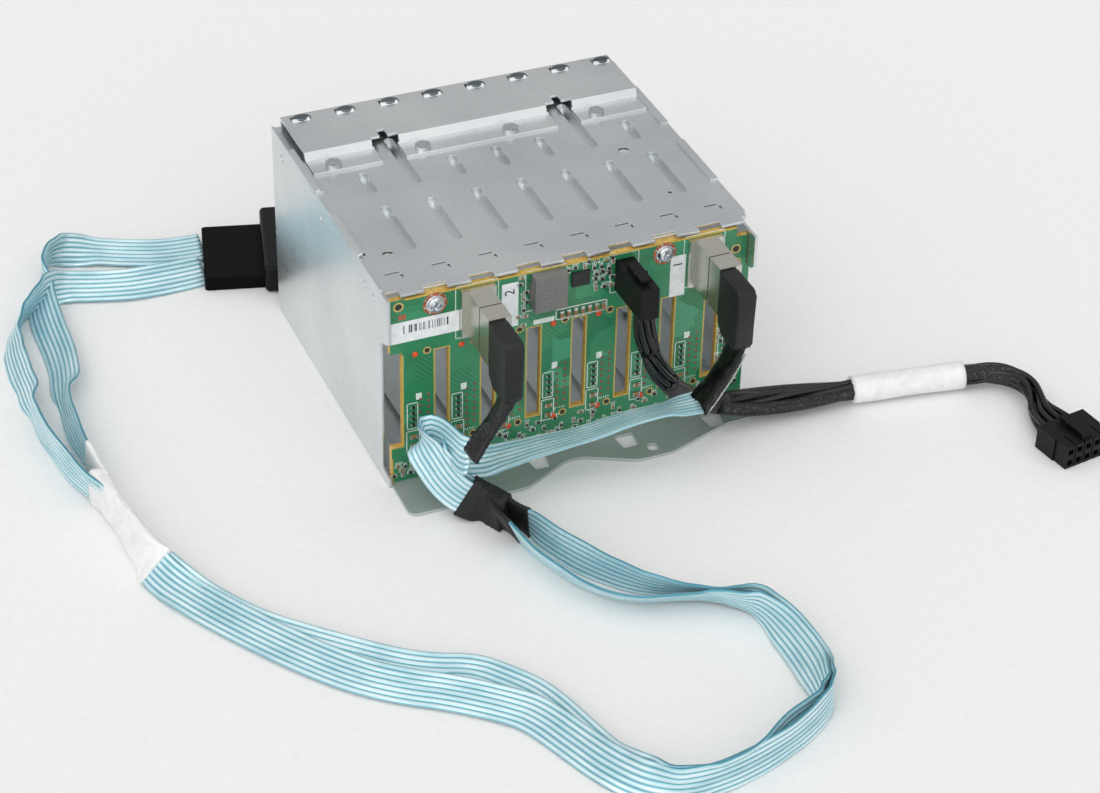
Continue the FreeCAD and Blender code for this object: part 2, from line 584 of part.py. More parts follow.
def make_port_shield(place):
    """The folded shell of one port, its soldered foot and the tongue inside."""
    body = new_body("port_shield_%d" % (place + 1))
    middle = PORTS[place]
    left, right = "%s - port_wide / 2" % middle, "%s + port_wide / 2" % middle
    top = "port_low + port_tall"
    shell = new_sketch(body, "XZ_Plane", "-(board_rear)")
    add_box(shell, left, right, "port_low", top)
    pad(body, shell, "port_deep")
    cavity = new_sketch(body, "XZ_Plane", "-(board_rear) + port_deep")
    add_box(cavity, "%s + port_wall" % left, "%s - port_wall" % right, "port_low + port_wall",
            "%s - port_wall" % top)
    pocket(body, cavity, "port_deep - port_foot_deep")
    tongue = new_sketch(body, "XZ_Plane", "-(board_rear)")
    add_box(tongue, "%s - drive_tongue / 2" % middle, "%s + drive_tongue / 2" % middle,
            "port_low + 4 * port_wall", "%s - 4 * port_wall" % top)
    pad(body, tongue, "port_deep - 2 * port_wall")
    for start, end in (("%s - port_foot" % left, left), (right, "%s + port_foot" % right)):
        foot = new_sketch(body, "XZ_Plane", "-(board_rear)")
        add_box(foot, start, end, "port_low", top)
        pad(body, foot, "port_foot_deep")
    return body


def make_sas_plug(place):
    """The metal nose of a ribbon's plug, pushed into its port."""
    body = new_body("sas_plug_shell_%d" % (place + 1))
    middle = PORTS[place]
    inset = "port_wall + fit_gap"
    top = "port_low + port_tall"
    nose = new_sketch(body, "XZ_Plane", "-(board_rear) + port_foot_deep + fit_gap")
    add_box(nose, "%s - port_wide / 2 + %s" % (middle, inset),
            "%s + port_wide / 2 - (%s)" % (middle, inset),
            "port_low + %s" % inset, "%s - (%s)" % (top, inset))
    pad(body, nose, "port_deep + sas_shell_out - port_foot_deep - fit_gap")
    slit = new_sketch(body, "XZ_Plane", "-(board_rear) + port_foot_deep + fit_gap")
    add_box(slit, "%s - drive_tongue / 2 - fit_gap" % middle,
            "%s + drive_tongue / 2 + fit_gap" % middle,
            "port_low + 4 * port_wall - fit_gap", "%s - 4 * port_wall + fit_gap" % top)
    pocket(body, slit, "port_deep - port_foot_deep", backward=True)
    collar = new_sketch(body, "XZ_Plane", "-(board_rear) + port_deep + 2 * fit_gap")
    add_box(collar, "%s - port_wide / 2" % middle, "%s + port_wide / 2" % middle,
            "port_low", top)
    pad(body, collar, "sas_shell_out - 2 * fit_gap")
    return body


def make_sas_overmold(place):
    """The moulded grip of a ribbon's plug, with a sloped shoulder above its rear face."""
    body = new_body("sas_overmold_%d" % (place + 1))
    face = "board_rear - port_deep - sas_shell_out"
    rear = "%s - sas_body_deep" % face
    top = "port_low + port_tall - port_wall"
    side = new_sketch(body, "YZ_Plane", "%s + sas_body_shift - sas_body_wide / 2" % PORTS[place])
    add_outline(side, [(face, "sas_body_low"), (face, top), ("%s + sas_slope_deep" % rear, top),
                       (rear, "%s - sas_slope" % top), (rear, "sas_body_low")])
    pad(body, side, "sas_body_wide")
    round_edges(body, "sas_body_wide / 6", lambda edge: edge.CenterOfMass.y < size(face) - 0.1
                and abs(edge.CenterOfMass.z - size("sas_body_low")) > 0.1)
    return body


def make_sleeve(place):
    """Flat shrink tubing from the plug's underside to where the ribbon comes out of it."""
    wide, thick = size("sleeve_wide"), size("sleeve_thick")
    root = Vector(size(PORTS[place] + " + sas_body_shift"),
                  size("board_rear - port_deep - sas_shell_out - sas_body_deep / 2"),
                  size("sas_body_low"))
    run = Vector(-size("sleeve_aside"), 0, -size("sleeve_drop"))
    lean = math.degrees(math.atan2(-run.x, -run.z))
    bar = Part.makeBox(thick, wide, run.Length + wide, Vector(-thick / 2, -wide / 2, -wide))
    bar.Placement = Placement(root, Rotation(Vector(0, 1, 0), 180 + lean))
    above = Part.makeBox(4 * wide, 4 * wide, 4 * wide, root - Vector(2 * wide, 2 * wide, 0))
    return keep_shape("sas_sleeve_%d" % (place + 1), bar.cut(above))


# ---------------------------------------------------------------- parts on the board
def make_power_header():
    body = new_body("power_header")
    left, right = "header_x - header_wide / 2", "header_x + header_wide / 2"
    top = "header_low + header_tall"
    face = "-(board_rear)"
    shell = new_sketch(body, "XZ_Plane", face)
    add_box(shell, left, right, "header_low", top)
    pad(body, shell, "header_deep")
    cavity = new_sketch(body, "XZ_Plane", "%s + header_deep" % face)
    add_box(cavity, "%s + header_wall" % left, "%s - header_wall" % right,
            "header_low + header_wall", "%s - header_wall" % top)
    pocket(body, cavity, "header_deep - 2 * header_wall")
    catch = new_sketch(body, "YZ_Plane", "header_x - latch_wide / 2")
    hook_face = "board_rear - header_deep + power_catch_set"
    add_outline(catch, [(hook_face, top), ("%s - 2 * latch_gap" % hook_face, top),
                        (hook_face, "%s + latch_hook" % top)])
    pad(body, catch, "latch_wide")
    return body


def make_power_plug():
    body = new_body("power_plug_body")
    left, right = "header_x - header_wide / 2", "header_x + header_wide / 2"
    top = "header_low + header_tall"
    inset = "header_wall + fit_gap"
    outer = new_sketch(body, "XZ_Plane", "-(board_rear) + header_deep")
    add_box(outer, left, right, "header_low", top)
    pad(body, outer, "power_plug_out")
    nose = new_sketch(body, "XZ_Plane", "-(board_rear) + header_deep")
    add_box(nose, "%s + %s" % (left, inset), "%s - (%s)" % (right, inset),
            "header_low + %s" % inset, "%s - (%s)" % (top, inset))
    pad(body, nose, "header_deep - 3 * header_wall", backward=True)
    pivot = new_sketch(body, "XZ_Plane", "-(board_rear) + header_deep + power_pivot_out - 0.5")
    add_box(pivot, "header_x - latch_wide / 2", "header_x + latch_wide / 2", top,
            "%s + latch_gap - fit_gap" % top)
    pad(body, pivot, "1")
    return body


def make_power_latch():
    """A rocking lever whose hook drops behind the header's catch."""
    body = new_body("power_plug_latch")
    top = "header_low + header_tall"
    side = new_sketch(body, "YZ_Plane", "header_x - latch_wide / 2")
    under, over = "%s + latch_gap" % top, "%s + latch_gap + latch_thick" % top
    hook_rear = "board_rear - header_deep + power_catch_set + fit_gap"
    hook_tip = "%s + 2 * latch_hook" % hook_rear
    tail = "board_rear - header_deep - power_tail"
    add_outline(side, [(tail, under), (hook_rear, under), (hook_rear, "%s + fit_gap" % top),
                       (hook_tip, "%s + fit_gap" % top), (hook_tip, over), (tail, over)])
    pad(body, side, "latch_wide")
    add_pin(body, "YZ_Plane", "header_x - latch_wide / 2", "board_rear - header_deep - power_pivot_out",
            "%s + latch_thick / 2" % under, "latch_pin")
    return body


def add_pin(body, plane, start, along, up, diameter):
    """The round pivot of a rocking latch, a little longer than the latch is wide."""
    pin = new_sketch(body, plane, "%s - latch_pin_reach" % start)
    add_circle(pin, along, up, diameter)
    pad(body, pin, "latch_wide + 2 * latch_pin_reach")


def make_board_parts():
    coil = block("coil_case", ("-coil_left", "board_rear - coil_deep", "coil_low"),
                 ("coil_wide", "coil_deep", "coil_tall"))
    terminal = block("coil_terminal", ("-coil_left - 0.6", "board_rear - coil_deep / 2",
                                       "coil_low + coil_tall / 4"),
                     ("0.6", "coil_deep / 2", "coil_tall / 2"))
    chip = block("regulator_chip", ("-chip_left", "board_rear - chip_deep", "chip_low"),
                 ("chip_wide", "chip_deep", "chip_tall"))
    chip.Label = "regulator_chip"
    return [joined("power_inductor", [coil, terminal]), chip]


# ---------------------------------------------------------------- cords
RIBBON_1 = [(38.25, -82.25, 29), (35, -82.25, 23), (26, -80, 19), (0, -74.5, 15.5),
            (-24, -69.5, 13.5), (-42, -65.5, 14.5), (-54, -63.5, 17.5), (-61.5, -64.5, 21.5),
            (-66, -72, 21), (-60.5, -79, 15.5), (-46, -81.5, 11), (-30, -107, 8),
            (-15, -130, 7.2), (-4, -150, 7), (20, -165, 7), (33, -192, 7), (29, -215, 7),
            (-5, -236.5, 7), (-39, -239, 7), (-54, -222, 7), (-66, -188, 7), (-82, -164, 7),
            (-117, -143, 7), (-145, -121, 7), (-172, -72, 7), (-172, -4, 7), (-177, 40, 6),
            (-180, 78, 5), (-168, 112, 4), (-141, 130, 3.2), (-114.9, 128.4, 3),
            (-87.9, 121, 3)]
RIBBON_2 = [(-50.75, -82.25, 29), (-54, -82.25, 23), (-58.5, -77.5, 21.5), (-62, -70, 26.5),
            (-66, -62.5, 31.5), (-73.5, -66, 32), (-75, -75, 27.5), (-68, -84, 19.5),
            (-53.5, -86, 11.5), (-37, -111.5, 8), (-22, -134, 7.2), (-12, -154, 7),
            (12, -168, 7), (26.5, -191, 7), (23, -211, 7), (-6, -230, 7), (-36, -232.5, 7),
            (-49, -218, 7), (-60, -185, 7), (-77, -158.5, 7), (-112, -137.5, 7),
            (-138, -117, 7), (-166, -70, 7), (-166, -4, 7), (-169, 38, 6), (-165, 74, 5),
            (-149, 99, 4), (-119.6, 111.25, 3), (-92.6, 103.85, 3)]
POWER_LEAD = [(20.5, -70.9, 65), (20.5, -70.9, 58), (23, -71.5, 48), (28, -70.5, 37),
              (35.5, -68, 26.5), (44, -65.5, 18), (56, -63.5, 10.5), (72, -63, 7),
              (90, -65, 6), (106, -67.5, 6), (158, -75, 6), (170.5, -80, 6.4), (175.5, -90, 6),
              (173.5, -100, 5), (171.6, -107.5, 4.8), (173, -116.8, 4.8)]


def cord_edges(points):
    """Straight runs joined by tangent arcs, each as large as its two runs allow."""
    spots = [Vector(*point) for point in points]
    edges, start = [], spots[0]
    for before, corner, after in zip(spots, spots[1:], spots[2:]):
        arriving, leaving = corner - before, after - corner
        turn = arriving.getAngle(leaving)
        trim = 0.45 * min(arriving.Length, leaving.Length)
        radius = trim / math.tan(turn / 2)
        near = corner - arriving.normalize() * trim
        far = corner + leaving.normalize() * trim
        inward = (far - near).cross(arriving.cross(leaving)).normalize()
        bulge = (near + far) / 2
        middle = corner + (bulge - corner).normalize() * (
            math.hypot(radius, trim) - radius)
        edges.append(Part.LineSegment(start, near).toShape())
        edges.append(Part.Arc(near, middle, far).toShape())
        radii.append(round(radius, 1))
        start = far
    edges.append(Part.LineSegment(start, spots[-1]).toShape())
    return edges


radii = []


def tube(edges, diameter):
    """A round tube along tangent edges, as one solid."""
    path = Part.Wire(edges)
    first = edges[0]
    direction = first.tangentAt(first.FirstParameter)
    ring = Part.Wire(Part.makeCircle(diameter / 2, first.firstVertex().Point, direction))
    return path.makePipeShell([ring], True, True)


def stretch(edges, start, end):
    """The part of a path between two lengths measured along it."""
    kept, travelled = [], 0.0
    for edge in edges:
        long = edge.Length
        low, high = max(start - travelled, 0), min(end - travelled, long)
        if high - low > 1e-3:
            first = edge.getParameterByLength(low) if low > 0 else edge.FirstParameter
            last = edge.getParameterByLength(high) if high < long else edge.LastParameter
            kept.append(edge.Curve.toShape(first, last))
        travelled += long
    return kept


def length_at(edges, place):
    """The length along a path of its point nearest a place."""
    travelled, best, found = 0.0, 1e9, 0.0
    for edge in edges:
        steps = 12
        for step in range(steps + 1):
            along = min(edge.Length * step / steps, edge.Length * 0.9999)
            gap = (edge.valueAt(edge.getParameterByLength(along)) - Vector(*place)).Length
            if gap < best:
                best, found = gap, travelled + along
        travelled += edge.Length
    return found


def keep_shape(label, shape):
    feature = doc.addObject("Part::Feature", label)
    feature.Label = label
    feature.Shape = shape
    return feature


def make_cord(label, points, diameter):
    del radii[:]
    edges = cord_edges(points)
    solid = tube(edges, diameter)
    length = sum(edge.Length for edge in edges)
    expected = math.pi * diameter ** 2 / 4 * length
    print("%s length %.0f volume ratio %.4f radii %s" % (
        label, length, solid.Volume / expected, radii))
    keep_shape(label, solid)
    return edges


def make_wrap(label, edge_sets, bore, start, end, width, height):
    """A wrap of tape: a straight sided tunnel round the cords between two places."""
    low, high = Vector(*start), Vector(*end)
    long = (high - low).Length
    wrap = Part.makeBox(width, height, long, Vector(-width / 2, -height / 2, 0))
    edges = [edge for edge in wrap.Edges if abs(edge.Length - long) < 1e-6]
    wrap = wrap.makeFillet(min(width, height) / 4, edges)
    forward = (high - low).normalize()
    across = forward.cross(Vector(0, 0, 1)).normalize()
    upward = across.cross(forward)
    turn = Rotation(across, upward, forward, "ZXY")
    wrap.Placement = Placement(low, turn)
    for edges in edge_sets:
        near = length_at(edges, start)
        far = length_at(edges, end)
        wrap = wrap.cut(tube(stretch(edges, near - long, far + long), bore))
    return keep_shape(label, wrap.Solids[0] if len(wrap.Solids) == 1 else wrap)


def make_cords():
    ribbon = size("ribbon_thick")
    gap = size("fit_gap")
    first = make_cord("sas_ribbon_1", RIBBON_1, ribbon)
    second = make_cord("sas_ribbon_2", RIBBON_2, ribbon)
    bore = ribbon + 2 * gap
    make_wrap("black_tape_wrap", (first, second), bore, (-46.5, -88, 10.2), (-34, -108, 8.4), 15, 9)
    make_wrap("white_tape_wrap", (first, second), bore, (-169, -70, 7), (-169, -4, 7), 15, 9)
    lead = make_cord("power_lead", POWER_LEAD, size("lead_thick"))
    lead_bore = size("lead_thick") + 2 * gap
    for label, start, end, wall in (("lead_label_sleeve", (110, -68, 6), (155, -74.5, 6), 0.6),
                                    ("lead_end_sleeve", (157, -75, 6), (175, -91, 6), 1.0)):
        part = stretch(lead, length_at(lead, start), length_at(lead, end))
        outer, inner = tube(part, lead_bore + 2 * wall), tube(part, lead_bore)
        keep_shape(label, outer.cut(inner))


# ---------------------------------------------------------------- wide plug and end plug
def end_of(*routes, facing):
    """A placement on the floor, midway between the ends of cords, that faces along their last run."""
    last = [Vector(*route[-1]) for route in routes]
    run = last[0] - Vector(*routes[0][-2])
    middle = sum(last, Vector()) / len(last)
    turn = math.degrees(math.atan2(run.y, run.x)) - facing
    return Placement(Vector(middle.x, middle.y, 0), Rotation(Vector(0, 0, 1), turn))


WIDE_PLACE = end_of(RIBBON_1, RIBBON_2, facing=0)
END_PLACE = end_of(POWER_LEAD, facing=90)


def place_body(body, placement):
    body.Placement = placement
    doc.recompute()


def make_wide_plug():
    """The double-width plug, laid flat: cable body, collar, two metal noses and a latch."""
    half = "wide_across / 2"
    body = new_body("wide_plug_body")
    outline = new_sketch(body, "XY_Plane")
    add_box(outline, "0", "wide_long", "-(%s)" % half, half)
    pad(body, outline, "wide_thick")
    round_edges(body, "wide_thick / 4", runs_along(2, "0", None))
    place_body(body, WIDE_PLACE)
    collar = new_body("wide_plug_collar")
    outline = new_sketch(collar, "XY_Plane")
    add_box(outline, "wide_long", "wide_long + collar_long", "-collar_across / 2",
            "collar_across / 2")
    pad(collar, outline, "collar_thick")
    round_edges(collar, "collar_thick / 6", lambda edge: True)
    place_body(collar, WIDE_PLACE)
    for place, side in enumerate((-1, 1)):
        nose = new_body("wide_plug_nose_%d" % (place + 1))
        front = "wide_long + collar_long"
        middle = "%d * (nose_across + nose_gap) / 2" % side
        outline = new_sketch(nose, "YZ_Plane", front)
        low = "(collar_thick - nose_thick) / 2"
        add_box(outline, "%s - nose_across / 2" % middle, "%s + nose_across / 2" % middle,
                low, "%s + nose_thick" % low)
        pad(nose, outline, "nose_long")
        mouth = new_sketch(nose, "YZ_Plane", "%s + nose_long" % front)
        add_box(mouth, "%s - nose_across / 2 + header_wall" % middle,
                "%s + nose_across / 2 - header_wall" % middle, "%s + header_wall" % low,
                "%s + nose_thick - header_wall" % low)
        pocket(nose, mouth, "nose_long - header_wall")
        place_body(nose, WIDE_PLACE)
    latch = new_body("wide_plug_latch")
    strip = new_sketch(latch, "XZ_Plane", "-(latch_wide)")
    base = "wide_long + collar_long"
    top = "collar_thick / 2 + nose_thick / 2"
    under, tip = "%s + latch_gap" % top, "%s + nose_long" % base
    over = "%s + spring_thick" % under
    add_outline(strip, [("%s + fit_gap" % base, under), ("%s - spring_hook" % tip, under),
                        ("%s - spring_hook" % tip, "%s + fit_gap" % top),
                        (tip, "%s + fit_gap" % top), (tip, over), ("%s + fit_gap" % base, over)])
    pad(latch, strip, "2 * latch_wide")
    pin = new_sketch(latch, "XZ_Plane", "-(latch_wide)")
    add_circle(pin, "%s + spring_pin_set" % base, "%s + spring_thick / 2" % under, "spring_pin")
    pad(latch, pin, "2 * latch_wide")
    place_body(latch, WIDE_PLACE)


def make_end_plug():
    """The ten-way plug at the free end of the power lead: a block with five open cells."""
    body = new_body("end_plug_body")
    half = "end_ways * end_pitch / 2"
    back = new_sketch(body, "XY_Plane")
    add_box(back, "-(%s) - end_rim" % half, "%s + end_rim" % half, "0", "end_body")
    pad(body, back, "end_thick")
    prong = new_sketch(body, "XY_Plane")
    left = "-(%s)" % half
    add_box(prong, "%s + end_slit" % left, "%s + end_pitch - end_slit" % left, "end_body",
            "end_body + end_prong")
    prong_pad = pad(body, prong, "end_thick")
    repeat(body, [prong_pad], "end_pitch", "end_ways")
    for level in ("end_thick / 4", "end_thick * 3 / 4"):
        cell = new_sketch(body, "XZ_Plane", "-(end_body + end_prong)")
        reach = "end_pitch / 2 - end_cell"
        add_box(cell, "%s + end_cell" % left, "%s + end_pitch - end_cell" % left,
                "%s - (%s)" % (level, reach), "%s + %s" % (level, reach))
        cell_cut = pocket(body, cell, "end_prong", backward=True)
        repeat(body, [cell_cut], "end_pitch", "end_ways")
    rib = new_sketch(body, "XY_Plane", "end_thick")
    add_box(rib, "-latch_wide / 2", "latch_wide / 2", "end_pin_set - 0.5", "end_pin_set + 0.5")
    pad(body, rib, "latch_gap - fit_gap")
    place_body(body, END_PLACE)
    latch = new_body("end_plug_latch")
    side = new_sketch(latch, "YZ_Plane", "-latch_wide / 2")
    under = "end_thick + latch_gap"
    over = "%s + latch_thick" % under
    hook = "end_body + end_latch_hook"
    tip = "%s + end_hook_long" % hook
    add_outline(side, [("end_latch_start", under), (hook, under), (hook, "end_thick + fit_gap"),
                       (tip, "end_thick + fit_gap"), ("%s - end_latch_start" % tip, over),
                       ("end_latch_start", over)])
    pad(latch, side, "latch_wide")
    add_pin(latch, "YZ_Plane", "-latch_wide / 2", "end_pin_set", "%s + latch_thick / 2" % under,
            "latch_pin")
    place_body(latch, END_PLACE)


# ---------------------------------------------------------------- build, check and write
def make_all():
    make_top_panel()
    make_side_panel("cage_left_side_panel", -1, left_ears())
    make_side_panel("cage_right_side_panel", 1, right_ears())
    make_bottom_panel()
    make_hood()
    for place in range(RIVET_COUNT):
        make_rivet(place)
    make_board()
    for place in range(len(SCREWS)):
        make_screw(place)
    for place in range(int(size("bays"))):
        make_drive_connector(place)
    for place in range(len(PORTS)):
        make_port_shield(place)
        make_sas_plug(place)
        make_sas_overmold(place)
        make_sleeve(place)
    make_power_header()
    make_power_plug()
    make_power_latch()
    make_board_parts()
    make_cords()
    make_wide_plug()
    make_end_plug()


def is_sub_part(item):
    """Sub-parts are the objects that no other object is built from."""
    if not hasattr(item, "Shape") or item.TypeId.startswith("App::"):
        return False
    if item.TypeId == "PartDesign::Body":
        return True
    inside = item.TypeId.startswith("PartDesign::") or item.TypeId.startswith("Sketcher::")
    return not inside and not item.InList


make_all()
doc.recompute()
for item in doc.Objects:
    if "Invalid" in item.State or "Error" in item.State:
        raise RuntimeError("%s failed: %s" % (item.Label, item.State))
sub_parts = [item for item in doc.Objects if is_sub_part(item)]
for item in sub_parts:
    if item.Shape.isNull() or not item.Shape.isValid() or not item.Shape.Solids:
        raise RuntimeError("%s has no valid solid" % item.Label)
os.makedirs("parts", exist_ok=True)
for item in sub_parts:
    item.Shape.exportStep(os.path.join("parts", item.Label + ".step"))
print("%d sub-parts written" % len(sub_parts))
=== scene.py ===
"""A sheet-steel drive cage with its backplane, two flat data leads and a power lead: the finish of every piece.

Everything is in metres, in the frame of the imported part. Sizes written in millimetres are turned by MM.
"""
import math
import random

import bpy
import bmesh
from mathutils import Matrix, Vector
from mathutils.noise import noise as noise_field


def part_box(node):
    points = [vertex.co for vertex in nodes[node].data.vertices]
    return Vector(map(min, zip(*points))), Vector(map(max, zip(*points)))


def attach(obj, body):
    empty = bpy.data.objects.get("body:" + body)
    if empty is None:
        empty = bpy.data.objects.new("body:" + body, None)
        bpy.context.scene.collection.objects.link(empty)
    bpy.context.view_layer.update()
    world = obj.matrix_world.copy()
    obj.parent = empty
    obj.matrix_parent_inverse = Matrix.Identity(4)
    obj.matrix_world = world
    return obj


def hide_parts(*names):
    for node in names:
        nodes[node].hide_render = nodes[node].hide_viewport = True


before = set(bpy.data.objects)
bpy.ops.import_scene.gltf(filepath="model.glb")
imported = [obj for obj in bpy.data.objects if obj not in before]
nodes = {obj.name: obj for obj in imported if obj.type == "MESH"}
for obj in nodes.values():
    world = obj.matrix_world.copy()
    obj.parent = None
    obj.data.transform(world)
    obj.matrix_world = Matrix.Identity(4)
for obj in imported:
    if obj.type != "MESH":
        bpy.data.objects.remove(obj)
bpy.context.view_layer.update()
MM = 0.001


def around(count):
    """The angles of a full turn in equal steps."""
    return [2 * math.pi * k / count for k in range(count)]


def place_object(name, data):
    """A new object in the scene, at the origin."""
    made = bpy.data.objects.new(name, data)
    bpy.context.scene.collection.objects.link(made)
    return made


# ---------------------------------------------------------------- view, floor and light

VIEW_TURN = math.radians(-23.72)
VIEW_HEIGHT = math.radians(36.03)
VIEW_ROLL = math.radians(1.36)
VIEW_PLACE = Vector((-0.3470, -0.82475, 0.6372))
LENS = 92.85
SENSOR_WIDTH = 36.0


def place_camera():
    """The camera looks down on the cage's rear left corner."""
    flat = math.cos(VIEW_HEIGHT)
    back = Vector((math.sin(VIEW_TURN) * flat, -math.cos(VIEW_TURN) * flat, math.sin(VIEW_HEIGHT)))
    right = Vector((math.cos(VIEW_TURN), math.sin(VIEW_TURN), 0.0))
    up = back.cross(right)
    rolled_right = math.cos(VIEW_ROLL) * right + math.sin(VIEW_ROLL) * up
    rolled_up = -math.sin(VIEW_ROLL) * right + math.cos(VIEW_ROLL) * up
    turn = Matrix((rolled_right, rolled_up, back)).transposed().to_4x4()
    data = bpy.data.cameras.new("camera")
    data.lens = LENS
    data.sensor_width = SENSOR_WIDTH
    data.clip_start = 0.05
    camera = place_object("camera", data)
    camera.matrix_world = Matrix.Translation(VIEW_PLACE) @ turn
    bpy.context.scene.camera = camera


place_camera()


def paint(code, alpha=1.0):
    """An sRGB hex colour as the linear numbers that a socket takes."""
    out = []
    for k in (1, 3, 5):
        c = int(code[k:k + 2], 16) / 255
        out.append(c / 12.92 if c <= 0.04045 else ((c + 0.055) / 1.055) ** 2.4)
    return (*out, alpha)


def add(tree, kind, settings=None, links=None):
    """Adds one node to a tree.

    A setting is an input's value, the node's own property, or a colour ramp's stops as (place, hex colour).
    A link feeds an input from a node's first output, or from (node, output).
    """
    node = tree.nodes.new(kind)
    for name, value in (settings or {}).items():
        if name == "stops":
            edges = node.color_ramp.elements
            while len(edges) < len(value):
                edges.new(0.5)
            for edge, (place, code) in zip(edges, value):
                edge.position = place
                edge.color = paint(code)
        elif isinstance(name, int) or name in node.inputs:
            node.inputs[name].default_value = value
        else:
            setattr(node, name, value)
    for name, source in (links or {}).items():
        source, output = source if isinstance(source, tuple) else (source, 0)
        tree.links.new(source.outputs[output], node.inputs[name])
    return node


def start_finish(name):
    """An empty node material, its tree and the coordinates that its patterns read."""
    material = bpy.data.materials.new(name)
    material.use_nodes = True
    tree = material.node_tree
    tree.nodes.clear()
    return material, tree, add(tree, "ShaderNodeTexCoord")


def end_finish(material, tree, settings, links):
    """Ends a finish with its shader and its output."""
    shader = add(tree, "ShaderNodeBsdfPrincipled", settings, links)
    add(tree, "ShaderNodeOutputMaterial", links={"Surface": shader})
    return material


FLOOR_HALF = 6.0
FLOOR_DROP = 0.2 * MM


def make_floor():
    """A wide pale floor that shows as white card and keeps the soft shadows."""
    material, tree, spot = start_finish("white card floor")
    grain = add(tree, "ShaderNodeTexNoise", {"Scale": 420.0, "Detail": 3.0}, {"Vector": (spot, "Object")})
    tone = add(tree, "ShaderNodeValToRGB", {"stops": [(0.3, "#efefee"), (0.7, "#f3f3f2")]}, {"Fac": grain})
    end_finish(material, tree, {"Roughness": 0.62, "Specular IOR Level": 0.2}, {"Base Color": tone})
    mesh = bpy.data.meshes.new("floor")
    corners = [(x * FLOOR_HALF, y * FLOOR_HALF, 0) for x, y in ((-1, -1), (1, -1), (1, 1), (-1, 1))]
    mesh.from_pydata(corners, [], [(0, 1, 2, 3)])
    mesh.materials.append(material)
    floor = place_object("floor", mesh)
    floor.location.z = -FLOOR_DROP


BRIGHT_WAY = (-0.42, -0.62, 0.66)
ROOM_DIM, ROOM_BRIGHT = 0.53, 1.3
# name, turn in degrees, strength, softness in degrees
LAMPS = (("key lamp", (38, 0, -52), 0.36, 34), ("fill lamp", (34, 0, 62), 0.12, 50))


def make_light():
    """A white room, brighter towards one side, and two broad lamps."""
    world = bpy.data.worlds.new("white room")
    bpy.context.scene.world = world
    world.use_nodes = True
    tree = world.node_tree
    tree.nodes.clear()
    spot = add(tree, "ShaderNodeTexCoord")
    toward = add(tree, "ShaderNodeVectorMath", {"operation": "DOT_PRODUCT", 1: BRIGHT_WAY},
                 {0: (spot, "Generated")})
    level = add(tree, "ShaderNodeMapRange", {"From Min": -1.0, "From Max": 1.0}, {"Value": (toward, "Value")})
    glow = add(tree, "ShaderNodeValToRGB", {"stops": [(0.0, "#f6f7f8"), (1.0, "#ffffff")]}, {"Fac": level})
    strength = add(tree, "ShaderNodeMapRange", {"From Min": 0.6, "From Max": 0.95, "To Min": ROOM_DIM,
                                                "To Max": ROOM_BRIGHT}, {"Value": level})
    room = add(tree, "ShaderNodeBackground", links={"Color": glow, "Strength": strength})
    seen = add(tree, "ShaderNodeBackground", {"Color": paint("#f2f3f2"), "Strength": 1.0})
    ray = add(tree, "ShaderNodeLightPath")
    mix = add(tree, "ShaderNodeMixShader", links={0: (ray, "Is Camera Ray"), 1: room, 2: seen})
    add(tree, "ShaderNodeOutputWorld", links={"Surface": mix})
    for name, turn, energy, soft in LAMPS:
        data = bpy.data.lights.new(name, "SUN")
        data.energy = energy
        data.angle = math.radians(soft)
        place_object(name, data).rotation_euler = [math.radians(v) for v in turn]


make_floor()
make_light()
bpy.context.scene.view_settings.view_transform = "Standard"


# ---------------------------------------------------------------- finishes
#
# Noise and mapping scales are waves to the metre, so 1000 is a grain of 1 mm.

# The drive bays, and the slots in the backplane between them, in millimetres: spacing, half sizes, middle
# height, how far the middle slot stands from the middle of the cage, and the bare rim round each slot.
BAY = 17.8
BAYS = 8
SLOT_HALF_WIDE, SLOT_HALF_TALL = 2.6, 19.75
SLOT_MIDDLE, SLOT_SHIFT = 36.35, 3.3
SLOT_RIM = 0.55
RIB_COUNT = 7


def zinc_steel_finish(name, dull, bright, rough, metal=0.94):
    """Electro-galvanised sheet steel: satin, with a fine rolled grain and faint cloudy stains."""
    material, tree, spot = start_finish(name)
    # rolling lines run along Y, about 0.4 mm apart; stains are some 45 mm across, specks 0.7 mm
    rolled = add(tree, "ShaderNodeMapping", {"Scale": (2500.0, 90.0, 2500.0)}, {"Vector": (spot, "Object")})
    lines = add(tree, "ShaderNodeTexNoise", {"Scale": 1.0, "Detail": 2.0}, {"Vector": rolled})
    cloud = add(tree, "ShaderNodeTexNoise", {"Scale": 22.0, "Detail": 5.0}, {"Vector": (spot, "Object")})
    speck = add(tree, "ShaderNodeTexNoise", {"Scale": 1500.0, "Detail": 2.0}, {"Vector": (spot, "Object")})
    tone = add(tree, "ShaderNodeValToRGB", {"stops": [(0.32, dull), (0.68, bright)]}, {"Fac": cloud})
    sheen = add(tree, "ShaderNodeMapRange", {"From Min": 0.3, "From Max": 0.7, "To Min": rough - 0.05,
                                             "To Max": rough + 0.07}, {"Value": lines})
    both = add(tree, "ShaderNodeMath", {"operation": "ADD"}, {0: lines, 1: speck})
    # sheared edges are eased by 0.4 mm, so they catch the light
    edge = add(tree, "ShaderNodeBevel", {"samples": 4, "Radius": 0.4 * MM})
    bump = add(tree, "ShaderNodeBump", {"Strength": 0.5, "Distance": 0.02 * MM},
               {"Height": both, "Normal": edge})
    return end_finish(material, tree, {"Metallic": metal},
                      {"Base Color": tone, "Roughness": sheen, "Normal": bump})


